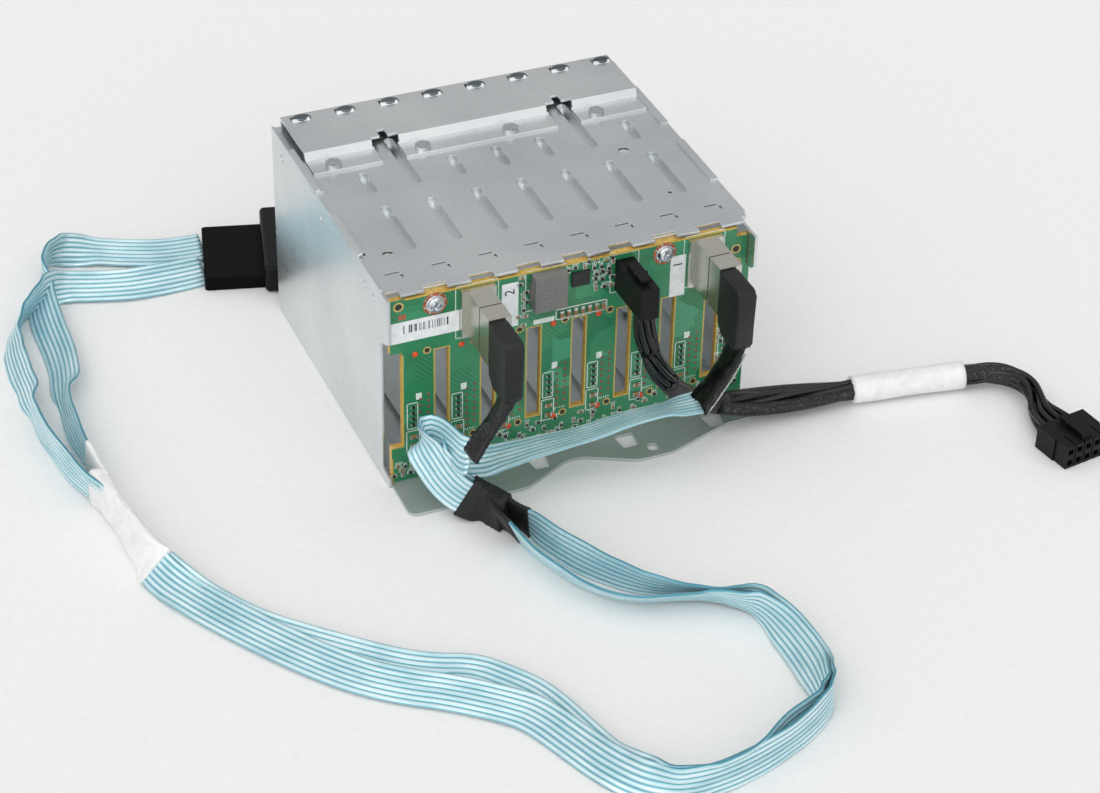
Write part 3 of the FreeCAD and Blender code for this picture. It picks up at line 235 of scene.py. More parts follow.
def grained_finish(name, stops, grain, depth, strength, shader, stretch=None):
    """A finish with one grain, which tints the colour and raises the surface by a depth in millimetres."""
    material, tree, spot = start_finish(name)
    place = (spot, "Object")
    if stretch:
        place = add(tree, "ShaderNodeMapping", {"Scale": stretch}, {"Vector": place})
    pattern = add(tree, "ShaderNodeTexNoise", grain, {"Vector": place})
    tone = add(tree, "ShaderNodeValToRGB", {"stops": stops}, {"Fac": pattern})
    bump = add(tree, "ShaderNodeBump", {"Strength": strength, "Distance": depth * MM}, {"Height": pattern})
    return end_finish(material, tree, shader, {"Base Color": tone, "Normal": bump})


def plated_finish(name, dull, bright, rough, stroke=(600.0, 600.0, 600.0)):
    """Nickel plated or plain bright metal: small parts, softly brushed."""
    return grained_finish(name, [(0.3, dull), (0.7, bright)], {"Scale": 1.0, "Detail": 3.0}, 0.03, 0.5,
                          {"Metallic": 1.0, "Roughness": rough}, stroke)


def tape_finish(name, dark, light, rough):
    """Wound adhesive tape or shrink sleeve: faint creases 7 mm apart along the lead, and a soft sheen."""
    return grained_finish(name, [(0.35, dark), (0.65, light)],
                          {"Scale": 140.0, "Detail": 4.0, "Distortion": 1.5}, 0.5, 0.5, {"Roughness": rough})


def mottled_finish(name, dark, light, rough, scale, metal=0.0):
    """Small board parts, ink, paper and pressed ferrite: a lightly mottled colour."""
    return grained_finish(name, [(0.35, dark), (0.65, light)], {"Scale": scale, "Detail": 3.0}, 0.05, 0.4,
                          {"Roughness": rough, "Metallic": metal})


def moulded_finish(name, dark, light, rough, grit, depth=0.04, glow=0.28):
    """Moulded plastic: even colour, cloudy over some 17 mm; its spark-eroded grain has a depth in millimetres."""
    material, tree, spot = start_finish(name)
    fine = add(tree, "ShaderNodeTexNoise", {"Scale": grit, "Detail": 2.0}, {"Vector": (spot, "Object")})
    broad = add(tree, "ShaderNodeTexNoise", {"Scale": 60.0, "Detail": 2.0}, {"Vector": (spot, "Object")})
    tone = add(tree, "ShaderNodeValToRGB", {"stops": [(0.3, dark), (0.7, light)]}, {"Fac": broad})
    shine = add(tree, "ShaderNodeMapRange", {"To Min": rough - 0.06, "To Max": rough + 0.06}, {"Value": broad})
    bump = add(tree, "ShaderNodeBump", {"Strength": 0.6, "Distance": depth * MM}, {"Height": fine})
    return end_finish(material, tree, {"Specular IOR Level": glow},
                      {"Base Color": tone, "Roughness": shine, "Normal": bump})


def solder_mask_finish():
    """Glass-epoxy board under glossy green solder mask: copper and traces show through, cut edges are tan."""
    material, tree, spot = start_finish("green solder mask on glass epoxy")
    # copper pours: blocks some 9 mm across
    pour = add(tree, "ShaderNodeTexVoronoi", {"distance": "CHEBYCHEV", "Scale": 105.0, "Randomness": 0.9},
               {"Vector": (spot, "Object")})
    pick = add(tree, "ShaderNodeSeparateColor", links={"Color": (pour, "Color")})
    greens = [(0.0, "#22764b"), (0.4, "#277f53"), (0.7, "#30875b"), (0.95, "#3f946b")]
    tone = add(tree, "ShaderNodeValToRGB", {"stops": greens}, {"Fac": pick})
    # traces: slanting runs about 1.6 mm apart, in some of the blocks, drawn coarser than real ones to show
    way = add(tree, "ShaderNodeMapping", {"Rotation": (0.0, math.radians(45), 0.0)},
              {"Vector": (spot, "Object")})
    runs = add(tree, "ShaderNodeTexWave",
               {"bands_direction": "X", "Scale": 200.0, "Distortion": 0.6, "Detail": 0.0}, {"Vector": way})
    thin = add(tree, "ShaderNodeMath", {"operation": "GREATER_THAN", 1: 0.72}, {0: (runs, "Fac")})
    some = add(tree, "ShaderNodeMath", {"operation": "GREATER_THAN", 1: 0.66}, {0: (pick, 1)})
    trace = add(tree, "ShaderNodeMath", {"operation": "MULTIPLY"}, {0: thin, 1: some})
    faint = add(tree, "ShaderNodeMath", {"operation": "MULTIPLY", 1: 0.22}, {0: trace})
    traced = add(tree, "ShaderNodeMix", {"data_type": "RGBA", 7: paint("#5caa86")}, {0: faint, 6: tone})
    # bare rim round each connector slot, from how far a place lies past the slot, across and upwards
    parts = add(tree, "ShaderNodeSeparateXYZ", links={0: (spot, "Object")})
    past = []
    for axis, steps in ((0, (("ADD", 10.5 * BAY - SLOT_SHIFT), ("MODULO", BAY), ("SUBTRACT", BAY / 2),
                             ("ABSOLUTE", 0), ("SUBTRACT", SLOT_HALF_WIDE))),
                        (2, (("SUBTRACT", SLOT_MIDDLE), ("ABSOLUTE", 0), ("SUBTRACT", SLOT_HALF_TALL)))):
        reach = (parts, axis)
        for operation, size in steps:
            reach = add(tree, "ShaderNodeMath", {"operation": operation, 1: size * MM}, {0: reach})
        past.append(reach)
    gap = add(tree, "ShaderNodeMath", {"operation": "MAXIMUM"}, {0: past[0], 1: past[1]})
    rim = add(tree, "ShaderNodeMath", {"operation": "LESS_THAN", 1: SLOT_RIM * MM}, {0: gap})
    rimmed = add(tree, "ShaderNodeMix", {"data_type": "RGBA", 7: paint("#c4ab52")}, {0: rim, 6: (traced, 2)})
    # cut edges face anywhere but the board's two broad sides, and show a glass weave about 1 mm apart
    facing = add(tree, "ShaderNodeSeparateXYZ", links={0: (spot, "Normal")})
    turned = add(tree, "ShaderNodeMath", {"operation": "ABSOLUTE"}, {0: (facing, 1)})
    cut = add(tree, "ShaderNodeMath", {"operation": "LESS_THAN", 1: 0.5}, {0: turned})
    weave = add(tree, "ShaderNodeTexNoise", {"Scale": 900.0, "Detail": 2.0}, {"Vector": (spot, "Object")})
    core = add(tree, "ShaderNodeValToRGB", {"stops": [(0.3, "#b8913f"), (0.7, "#dcb95f")]}, {"Fac": weave})
    colour = add(tree, "ShaderNodeMix", {"data_type": "RGBA"}, {0: cut, 6: (rimmed, 2), 7: core})
    rough = add(tree, "ShaderNodeMapRange", {"To Min": 0.3, "To Max": 0.62}, {"Value": cut})
    lift = add(tree, "ShaderNodeMath", {"operation": "ADD"}, {0: trace, 1: pick})
    bump = add(tree, "ShaderNodeBump", {"Strength": 0.5, "Distance": 0.05 * MM}, {"Height": lift})
    return end_finish(material, tree, {"Coat Weight": 0.25, "Coat Roughness": 0.15},
                      {"Base Color": (colour, 2), "Roughness": rough, "Normal": bump})


def foil_lead_finish(name):
    """Clear-jacketed shielded flat lead: seven foil-wrapped pairs under glossy blue film, with painted highlights
    on the ribs, painted shade between them and painted glints.
    """
    material, tree, spot = start_finish(name)
    # how far a place lies from the middle of its rib
    edge = (add(tree, "ShaderNodeSeparateXYZ", links={0: (spot, "UV")}), 0)
    for operation, value in (("MULTIPLY", float(RIB_COUNT)), ("FRACT", 0.0),
                             ("SUBTRACT", 0.5), ("ABSOLUTE", 0.0)):
        edge = add(tree, "ShaderNodeMath", {"operation": operation, 1: value}, {0: edge})
    # painted highlight: near white on each rib's crest, darkening to painted shade in the valleys between ribs
    rib_highlight_and_valley_shade = [(0.0, "#f2fcfe"), (0.2, "#cfebf1"), (0.38, "#9fd1dc"), (0.5, "#4592a5")]
    tone = add(tree, "ShaderNodeValToRGB", {"stops": rib_highlight_and_valley_shade}, {"Fac": edge})
    # crinkles in the foil: every 2 mm or so, as bumps; some larger stretches are painted glints, whiter in colour,
    # and they are smoother too
    spread = add(tree, "ShaderNodeMapping", {"Scale": (9.0, 520.0, 1.0)}, {"Vector": (spot, "UV")})
    crinkle = add(tree, "ShaderNodeTexNoise", {"Scale": 1.0, "Detail": 4.0, "Distortion": 1.2},
                  {"Vector": spread})
    slow = add(tree, "ShaderNodeMapping", {"Scale": (3.0, 45.0, 1.0)}, {"Vector": (spot, "UV")})
    patch = add(tree, "ShaderNodeTexNoise", {"Scale": 1.0, "Detail": 3.0}, {"Vector": slow})
    painted_glint = add(tree, "ShaderNodeValToRGB", {"stops": [(0.35, "#9fcdd6"), (0.62, "#ffffff")]}, {"Fac": patch})
    colour = add(tree, "ShaderNodeMix", {"data_type": "RGBA", "blend_type": "MULTIPLY", 0: 0.55},
                 {6: tone, 7: painted_glint})
    shine = add(tree, "ShaderNodeMapRange", {"From Min": 0.35, "From Max": 0.65, "To Min": 0.42, "To Max": 0.2},
                {"Value": patch})
    bump = add(tree, "ShaderNodeBump", {"Strength": 0.45, "Distance": 0.18 * MM}, {"Height": crinkle})
    return end_finish(material, tree, {"Metallic": 0.3, "Coat Weight": 0.7, "Coat Roughness": 0.1},
                      {"Base Color": (colour, 2), "Roughness": shine, "Normal": bump})


def braided_finish(name, round_count, along_count):
    """Black braided sleeving: crossing flat strands, counted round it and to the metre, with bright flecks of
    painted sparkle.
    """
    material, tree, spot = start_finish(name)
    heights = []
    for turn in (1.0, -1.0):
        way = add(tree, "ShaderNodeMapping", {"Scale": (round_count, along_count, 1.0)},
                  {"Vector": (spot, "UV")})
        parts = add(tree, "ShaderNodeSeparateXYZ", links={0: way})
        slant = add(tree, "ShaderNodeMath", {"operation": "MULTIPLY_ADD", 1: turn}, {0: parts, 2: (parts, 1)})
        heights.append(add(tree, "ShaderNodeMath", {"operation": "PINGPONG", 1: 0.5}, {0: slant}))
    top = add(tree, "ShaderNodeMath", {"operation": "MAXIMUM"}, {0: heights[0], 1: heights[1]})
    grain = add(tree, "ShaderNodeTexNoise", {"Scale": 900.0, "Detail": 3.0}, {"Vector": (spot, "Object")})
    # painted glints: lighter flecks in the colour stand for sparkle on the strands
    painted_sparkle = add(tree, "ShaderNodeValToRGB", {"stops": [(0.55, "#0b0c0c"), (0.7, "#4c4f50")]}, {"Fac": grain})
    bump = add(tree, "ShaderNodeBump", {"Strength": 0.9, "Distance": 0.6 * MM}, {"Height": top})
    return end_finish(material, tree, {"Roughness": 0.3}, {"Base Color": painted_sparkle, "Normal": bump})


# sheet metal: satin zinc outside, duller on the floor sheet that lies flat underneath; the lighter hood steel is
# also a painted highlight on the side wall's folded ears, and the darker tongue steel is painted shade in the
# hood's notches
sheet_steel = zinc_steel_finish("electro-galvanised sheet steel", "#d3d7d9", "#e4e7e8", 0.3)
floor_steel = zinc_steel_finish("dulled zinc floor sheet", "#bac2c3", "#cdd4d4", 0.38, 0.6)
hood_steel = zinc_steel_finish("electro-galvanised hood steel", "#dadddf", "#eaeced", 0.27)
tongue_shade_steel = zinc_steel_finish("painted shade rolled steel tongue", "#5d666a", "#788185", 0.36)
# bright small metal: clear reflections, warm on the shells and cold on the screws
bright_steel = plated_finish("plain steel rivet", "#b4b7b8", "#d8dadb", 0.28)
nickel = plated_finish("nickel plated shell", "#c6c4ba", "#dddbd1", 0.3, (2600.0, 900.0, 2600.0))
screw_nickel = plated_finish("nickel plated screw", "#bfc6cc", "#eef2f5", 0.16)
# plastics: near black and dry, with a sharper shine on the wires
black_nylon = moulded_finish("moulded glass-filled nylon", "#0b0c0c", "#121313", 0.44, 1400.0, 0.04, 0.2)
overmold_black = moulded_finish("satin moulded grip", "#1e1f1f", "#272828", 0.46, 900.0, 0.08)
plug_black = moulded_finish("moulded plug body", "#050505", "#0a0a0a", 0.45, 900.0, 0.04, 0.08)
wire_black = moulded_finish("black insulated wire", "#0b0c0c", "#131414", 0.2, 400.0, 0.02, 0.5)
# leads: blue glossy film, shiny shrink sleeve, dull cloth tape, white tape and braid
ribbon_film = foil_lead_finish("clear-jacketed foil flat lead")
sleeve_black = tape_finish("black shrink sleeve", "#0f1010", "#1f2020", 0.3)
sleeve_gloss = tape_finish("glossy black shrink sleeve", "#070808", "#121313", 0.2)
tape_black = tape_finish("black cloth tape", "#111212", "#1c1d1d", 0.66)
tape_white = tape_finish("white wound tape", "#e4e5e4", "#f0f0ef", 0.5)
braid = braided_finish("black braided sleeving", 14.0, 420.0)
# the board and what is soldered, printed or stuck on it: mostly dull, with satin solder and copper
solder_mask = solder_mask_finish()
laminate = mottled_finish("bare glass epoxy edge", "#b8983f", "#d6b65a", 0.5, 1200.0)
ferrite = mottled_finish("pressed ferrite", "#6b6b69", "#7d7d7a", 0.6, 1600.0)
chip_epoxy = mottled_finish("moulded chip epoxy", "#1e1f1f", "#2c2d2d", 0.5, 1200.0)
ink = mottled_finish("white screen ink", "#cfdcd4", "#eef4f0", 0.6, 1500.0)
solder = mottled_finish("tinned solder", "#9fa19d", "#e0e1dc", 0.3, 1500.0, 0.85)
solder_rim = mottled_finish("tan hole rim", "#b59a55", "#d8c07d", 0.4, 1200.0)
resistor = mottled_finish("thick film resistor", "#17181a", "#242628", 0.45, 1500.0)
capacitor = mottled_finish("ceramic capacitor", "#7d5f3c", "#a58558", 0.45, 900.0)
pin_copper = mottled_finish("solder-tinted copper pin", "#7a4434", "#a5674f", 0.45, 1200.0, 0.3)
copper = mottled_finish("bare copper ring", "#a2523a", "#cf7f5e", 0.4, 1200.0, 0.5)
red_dot = mottled_finish("orange status lens", "#c8321a", "#f06a2c", 0.35, 1800.0)
# painted shade: dark for the hole openings on the board, and for the gaps beside the side wall's ears
hole_and_gap_shade = mottled_finish("plated hole", "#23231f", "#3c3a33", 0.6, 1800.0)
paper = mottled_finish("white paper label", "#e4e9ec", "#f4f7f8", 0.6, 400.0)
print_black = mottled_finish("black label print", "#2a2c2e", "#404345", 0.6, 800.0)


# ---------------------------------------------------------------- flat data leads

# Each route point is (x, y, z) in millimetres, then the direction across the flat there.
RIBBON_1 = [
    ((38.25, -82.25, 29), (0, 1, 0)), ((33, -81.5, 28.5), (0, 0.95, -0.1)), ((26, -80, 27.5), (0, 0.94, -0.34)),
    ((13.5, -77, 25), (0, 0.95, -0.31)), ((2.5, -75, 21.5), (0, 0.96, -0.27)), ((-5, -74, 20), (0, 0.97, -0.24)),
    ((-22.5, -72, 18), (0, 0.99, -0.11)), ((-34, -71, 16.5), (0, 1, 0.06)), ((-43, -70, 15.5), (0, 0.9, 0.4)),
    ((-51, -69, 18.5), (0.1, 0.6, 0.8)), ((-56.5, -68, 23), (0.2, 0.1, 0.98)),
    ((-60, -70.5, 23.5), (0.55, -0.25, 0.8)),
    ((-57.5, -73.5, 17.5), (0.5, -0.2, 0.85)), ((-53, -76.5, 10.5), (0.45, -0.05, 0.9)),
    ((-48, -79.5, 8), (0.4, -0.05, 0.9)), ((-44, -81.5, 7.5), (0.19, -0.37, 0.91)),
    ((-35.5, -95, 6), (0.12, -0.68, 0.72)), ((-32, -109.5, 6.5), (0.26, -0.53, 0.81)),
    ((-25.5, -124.5, 7), (0.31, -0.39, 0.87)), ((-17.5, -137, 7), (0.22, -0.42, 0.88)),
    ((-8.5, -147, 7), (0.11, -0.49, 0.86)), ((3.5, -153, 6.5), (-0.15, -0.62, 0.77)),
    ((12, -157, 6), (-0.26, -0.64, 0.72)), ((19.5, -159.5, 6.5), (-0.27, -0.59, 0.76)),
    ((24, -171, 7), (0.25, -0.39, 0.89)), ((26, -188.5, 6.5), (0.58, -0.27, 0.77)),
    ((26, -202.5, 5), (0.8, 0.11, 0.59)), ((24, -216.5, 7.5), (0.25, -0.19, 0.95)),
    ((23.5, -221, 7.5), (-0.25, -0.21, 0.95)), ((15.5, -227, 6.5), (-0.58, -0.29, 0.77)),
    ((4, -233.5, 7), (-0.53, -0.2, 0.83)), ((-11, -238.5, 6.5), (-0.57, -0.09, 0.82)),
    ((-26.5, -242, 7), (-0.46, -0, 0.89)), ((-40.5, -241.5, 6.5), (-0.3, 0.2, 0.9)),
    ((-50, -234, 5), (0.2, 0.65, 0.7)), ((-57.5, -221.5, 4), (0.6, 0.65, 0.45)),
    ((-63, -206, 3), (0.58, 0.75, 0.31)), ((-69.5, -189, 3), (0.57, 0.77, 0.31)),
    ((-76, -181.5, 3), (0.51, 0.81, 0.29)), ((-91.5, -168.5, 3), (0.51, 0.81, 0.29)),
    ((-105, -160, 3), (0.55, 0.78, 0.3)), ((-118, -149, 3), (0.64, 0.71, 0.3)),
    ((-131.5, -132, 3), (0.67, 0.68, 0.29)), ((-146.5, -109, 3), (0.61, 0.74, 0.29)),
    ((-158, -88.5, 3), (0.61, 0.74, 0.29)), ((-164.5, -76, 4.5), (0.6, 0.5, 0.6)),
    ((-167.5, -62, 7), (0.3, 0.1, 0.95)), ((-169, -37, 8), (0.08, -0.18, 0.98)),
    ((-170, -7.5, 7.5), (0.05, -0.34, 0.94)), ((-171, 14, 7), (0.21, -0.5, 0.84)),
    ((-169, 33.5, 5.5), (0.03, -0.78, 0.63)), ((-163.5, 52.5, 3.5), (0.37, -0.84, 0.39)),
    ((-161.5, 68, 3.5), (0.52, -0.77, 0.37)), ((-161, 90, 3.5), (0.61, -0.7, 0.37)),
    ((-158.5, 110, 4), (0.45, -0.77, 0.45)), ((-153, 124, 7), (-0.17, -0.44, 0.88)),
    ((-148, 133.5, 7.5), (-0.05, -0.27, 0.96)), ((-140.5, 135, 5.5), (0.2, 0.6, 0.78)),
    ((-127.5, 132.5, 3), (0.27, 0.92, 0.29)), ((-115, 126.5, 3), (0.28, 0.92, 0.29)),
    ((-101.5, 121.5, 3), (0.29, 0.91, 0.3)), ((-88, 121, 3), (0.26, 0.93, 0.26)),
]
RIBBON_2 = [
    ((-50.75, -82.25, 29), (0, 1, 0)), ((-52.5, -80.5, 28), (0, 0.8, 0.6)), ((-54, -74, 28.5), (0.1, 0.4, 0.9)),
    ((-56.5, -66.5, 29.5), (0.1, 0.3, 0.95)), ((-60.5, -62.5, 29), (0.1, 0.25, 0.95)),
    ((-64, -66, 27), (0.45, 0.1, 0.9)), ((-61.5, -71, 21.5), (0.55, -0.1, 0.85)),
    ((-58, -75.5, 14.5), (0.5, -0.1, 0.85)), ((-53, -79.5, 9.5), (0.42, -0.05, 0.9)),
    ((-48.5, -83, 8.5), (0.35, -0.1, 0.92)), ((-46.5, -83, 7), (0.07, -0.46, 0.89)),
    ((-42.5, -96, 7), (-0.34, -0.42, 0.84)), ((-40, -109.5, 6), (-0.2, -0.68, 0.7)),
    ((-37.5, -119, 6), (-0.23, -0.67, 0.71)), ((-33.5, -130, 6), (-0.22, -0.62, 0.75)),
    ((-28.5, -139, 6), (-0.27, -0.64, 0.72)), ((-23, -146, 6), (-0.28, -0.63, 0.72)),
    ((-14.5, -151.5, 6), (-0.32, -0.63, 0.71)), ((-5.5, -154, 6), (-0.32, -0.61, 0.72)),
    ((3, -156.5, 6), (-0.32, -0.59, 0.74)), ((9.5, -160, 7), (-0.23, -0.52, 0.82)),
    ((16, -165, 7), (-0.23, -0.41, 0.88)), ((22, -171, 7), (0.21, -0.47, 0.86)),
    ((24.5, -186.5, 6), (0.54, -0.43, 0.73)), ((24.5, -202.5, 6), (0.63, -0.22, 0.75)),
    ((22, -215.5, 7.5), (0.34, -0.08, 0.94)), ((19.5, -221.5, 7), (-0.43, -0.34, 0.83)),
    ((12.5, -225, 7), (-0.48, -0.21, 0.85)), ((3, -229.5, 7.5), (-0.41, -0.09, 0.91)),
    ((-12.5, -238, 7), (-0.43, -0.27, 0.86)), ((-27, -241, 7), (-0.4, -0.22, 0.89)),
    ((-41.5, -240, 6.5), (-0.25, 0.2, 0.9)), ((-51, -229, 5), (0.3, 0.65, 0.6)),
    ((-57, -216.5, 3), (0.57, 0.77, 0.29)), ((-60.5, -203, 3), (0.6, 0.74, 0.29)),
    ((-64, -188.5, 3), (0.64, 0.71, 0.29)), ((-68, -178, 3), (0.59, 0.75, 0.29)),
    ((-74, -170, 3), (0.5, 0.81, 0.3)), ((-81, -161, 3), (0.51, 0.81, 0.29)),
    ((-93, -156.5, 3), (0.5, 0.82, 0.29)), ((-104.5, -149, 3), (0.54, 0.79, 0.29)),
    ((-115.5, -139, 3), (0.63, 0.72, 0.29)), ((-129, -126, 3), (0.62, 0.73, 0.29)),
    ((-142.5, -112, 3), (0.61, 0.74, 0.29)), ((-154.5, -92, 3), (0.61, 0.74, 0.29)),
    ((-163, -74, 4.5), (0.6, 0.5, 0.6)), ((-167, -60, 7), (0.3, 0.1, 0.95)),
    ((-170, -38, 8), (0.12, -0.15, 0.98)), ((-174.5, -22.5, 7.5), (-0.01, -0.37, 0.93)),
    ((-178, -8.5, 7), (0.12, -0.49, 0.86)), ((-181.5, 15.5, 6.5), (0.08, -0.65, 0.76)),
    ((-181, 32.5, 5), (-0.02, -0.81, 0.59)), ((-179.5, 47, 4), (0.25, -0.86, 0.44)),
    ((-179.5, 59, 4.5), (0.33, -0.81, 0.49)), ((-178.5, 74, 4.5), (0.28, -0.8, 0.53)),
    ((-175.5, 86.5, 5), (-0.02, -0.8, 0.6)), ((-168, 97, 6), (-0.29, -0.64, 0.71)),
    ((-161, 103, 7.5), (-0.21, -0.38, 0.9)), ((-154, 109, 6.5), (0, 0.4, 0.9)),
    ((-146.5, 111, 4), (0.27, 0.8, 0.45)), ((-134.5, 106.5, 4), (0.27, 0.85, 0.45)),
    ((-117.5, 101.5, 4.5), (0.28, 0.83, 0.48)), ((-92.5, 104, 3), (0.26, 0.93, 0.26)),
]
POWER_LEAD = [
    (20.5, -70.9, 65), (20.5, -70.9, 58), (23, -71.5, 48), (28, -70.5, 37), (35.5, -68, 26.5), (44, -65.5, 18),
    (56, -63.5, 10.5), (72, -63, 7), (90, -65, 6), (106, -67.5, 6), (158, -75, 6), (170.5, -80, 6.4),
    (175.5, -90, 6), (173.5, -100, 5), (171.6, -107.5, 4.8), (173, -116.8, 4.8),
]


def spline_points(name, points, fine=24):
    """The smooth line of a route: points read from its NURBS spline, and each one's place in the route's list."""
    data = bpy.data.curves.new(name + "_line", "CURVE")
    data.dimensions = "3D"
    data.resolution_u = fine
    spline = data.splines.new("NURBS")
    spline.points.add(len(points) - 1)
    for knot, place in zip(spline.points, points):
        knot.co = (*(c * MM for c in place), 1.0)
    spline.order_u = 3
    spline.use_endpoint_u = True
    line = place_object(name + "_line", data)
    mesh = bpy.data.meshes.new_from_object(line.evaluated_get(bpy.context.evaluated_depsgraph_get()))
    found = [v.co.copy() for v in mesh.vertices]
    bpy.data.objects.remove(line)
    bpy.data.meshes.remove(mesh)
    last = len(points) - 1
    keys = [0.5 + (last - 1) * k / (len(found) - 1) for k in range(len(found))]
    return found, [min(max(key, 0), last) for key in keys]


def even_line(found, keys, step):
    """The same line walked at an even step: (place, direction, key, distance)."""
    run = [0.0]
    for a, b in zip(found, found[1:]):
        run.append(run[-1] + (b - a).length)
    count = max(2, round(run[-1] / step))
    out, j = [], 0
    for k in range(count + 1):
        d = run[-1] * k / count
        while j < len(run) - 2 and run[j + 1] < d:
            j += 1
        t = (d - run[j]) / max(run[j + 1] - run[j], 1e-9)
        out.append([found[j].lerp(found[j + 1], t), None, keys[j] + (keys[j + 1] - keys[j]) * t, d])
    for k, row in enumerate(out):
        a, b = out[max(k - 1, 0)][0], out[min(k + 1, count)][0]
        row[1] = (b - a).normalized()
    return out


def nearest_row(line, place):
    """The row of a walked line that is nearest a place in millimetres."""
    spot = Vector(place) * MM
    return min(range(len(line)), key=lambda k: (line[k][0] - spot).length)


def eased(t):
    """A share from 0 to 1 that starts and ends gently."""
    return t * t * (3 - 2 * t)


def across_at(route, key, along):
    """The direction across the flat at a place along the route, square to the line."""
    k = min(int(key), len(route) - 2)
    a, b = Vector(route[k][1]).normalized(), Vector(route[k + 1][1]).normalized()
    across = a.lerp(b, eased(key - k))
    return (across - across.dot(along) * along).normalized()


def level_frame(along):
    """Sideways and upward directions square to a line's direction."""
    side = along.cross(Vector((0, 0, 1)))
    if side.length < 0.3:
        side = Vector((1, 0, 0)) - along * along.x
    side.normalize()
    return side, side.cross(along).normalized()


def skin(name, tubes, material=None, uvs=None, smooth=True, capped=True, rim=0.0):
    """A mesh skinned over tubes, each one a list of closed rows of points, with its faces outwards.

    uvs gives a pair for each point; rim rounds the edges of the flat ends, in millimetres.
    """
    work = bmesh.new()
    for rows in tubes:
        rings = [[work.verts.new(point) for point in row] for row in rows]
        for low, high in zip(rings, rings[1:]):
            for j in range(len(low)):
                n = (j + 1) % len(low)
                work.faces.new((low[j], low[n], high[n], high[j]))
        if capped:
            ends = [work.faces.new(rings[-1]), work.faces.new(list(reversed(rings[0])))]
    if rim:
        edges = [edge for end in ends for edge in end.edges]
        bmesh.ops.bevel(work, geom=edges, offset=rim * MM, segments=4, affect="EDGES", profile=0.5)
    bmesh.ops.recalc_face_normals(work, faces=work.faces)
    mesh = bpy.data.meshes.new(name)
    work.to_mesh(mesh)
    work.free()
    if uvs:
        layer = mesh.uv_layers.new(name="UVMap")
        for loop in mesh.loops:
            layer.data[loop.index].uv = uvs[loop.vertex_index]
    mesh.polygons.foreach_set("use_smooth", [smooth] * len(mesh.polygons))
    if material:
        mesh.materials.append(material)
    return mesh


def settle(name, mesh, slot, *stands_for):
    """A piece of the cage: its object, the body it rides on, the nodes it stands for and its finish slot, which is
    not used.
    """
    piece = place_object(name, mesh)
    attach(piece, "cage")
    if stands_for:
        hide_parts(*stands_for)
    return piece


RIBBON_WIDTH = 14 * MM
RIBBON_THICK = 1.3 * MM
RIBBON_STEP = 2 * MM
VALLEY = 0.42  # the film's thickness between two ribs, against its full thickness


def ribbon_section():
    """Half of the flat lead's outline: (across, out, u) from one edge to the other, over round ribs."""
    out = []
    for k in range(RIB_COUNT):
        for t in (0.0, 0.12, 0.32, 0.5, 0.68, 0.88):
            rise = math.sqrt(max(0.0, 1 - (2 * t - 1) ** 2))
            u = (k + t) / RIB_COUNT
            out.append((RIBBON_WIDTH * (u - 0.5), RIBBON_THICK / 2 * (VALLEY + (1 - VALLEY) * rise), u))
    out.append((RIBBON_WIDTH / 2, RIBBON_THICK / 2 * VALLEY, 1.0))
    return out


def make_ribbon(name, route, node):
    """A flat lead that follows its line, turned by the route's directions: the piece and its walked line."""
    line = even_line(*spline_points(name, [p for p, _ in route]), RIBBON_STEP)
    section = ribbon_section()
    rings, uvs = [], []
    for place, along, key, run in line:
        across = across_at(route, key, along)
        out = across.cross(along)
        rings.append([place + across * a + out * o for a, o, _ in section]
                     + [place + across * a - out * o for a, o, _ in reversed(section)])
        uvs += [(u, run) for _, _, u in section] + [(2 - u, run) for _, _, u in reversed(section)]
    return settle(name, skin(name, [rings], ribbon_film, uvs), "blue_ribbon", node), line


ribbon_1, ribbon_line_1 = make_ribbon("flat_lead_1", RIBBON_1, "sas_ribbon_1")
ribbon_2, ribbon_line_2 = make_ribbon("flat_lead_2", RIBBON_2, "sas_ribbon_2")


# ---------------------------------------------------------------- wraps and sleeves on the leads

def box_ring(place, across, out, half_wide, half_thick, count=28, square=0.4):
    """One closed ring: a rounded rectangle between an ellipse, at square 1, and a box, at 0."""
    ring = []
    for a in around(count):
        c, s = math.cos(a), math.sin(a)
        x = math.copysign(abs(c) ** square, c) * half_wide
        y = math.copysign(abs(s) ** square, s) * half_thick
        ring.append(place + across * x + out * y)
    return ring


def round_ring(place, side, up, radius, flat=1.0, count=20):
    """One closed round ring, or an oval one whose height is flat times its width."""
    return [place + side * (radius * math.cos(a)) + up * (radius * flat * math.sin(a)) for a in around(count)]


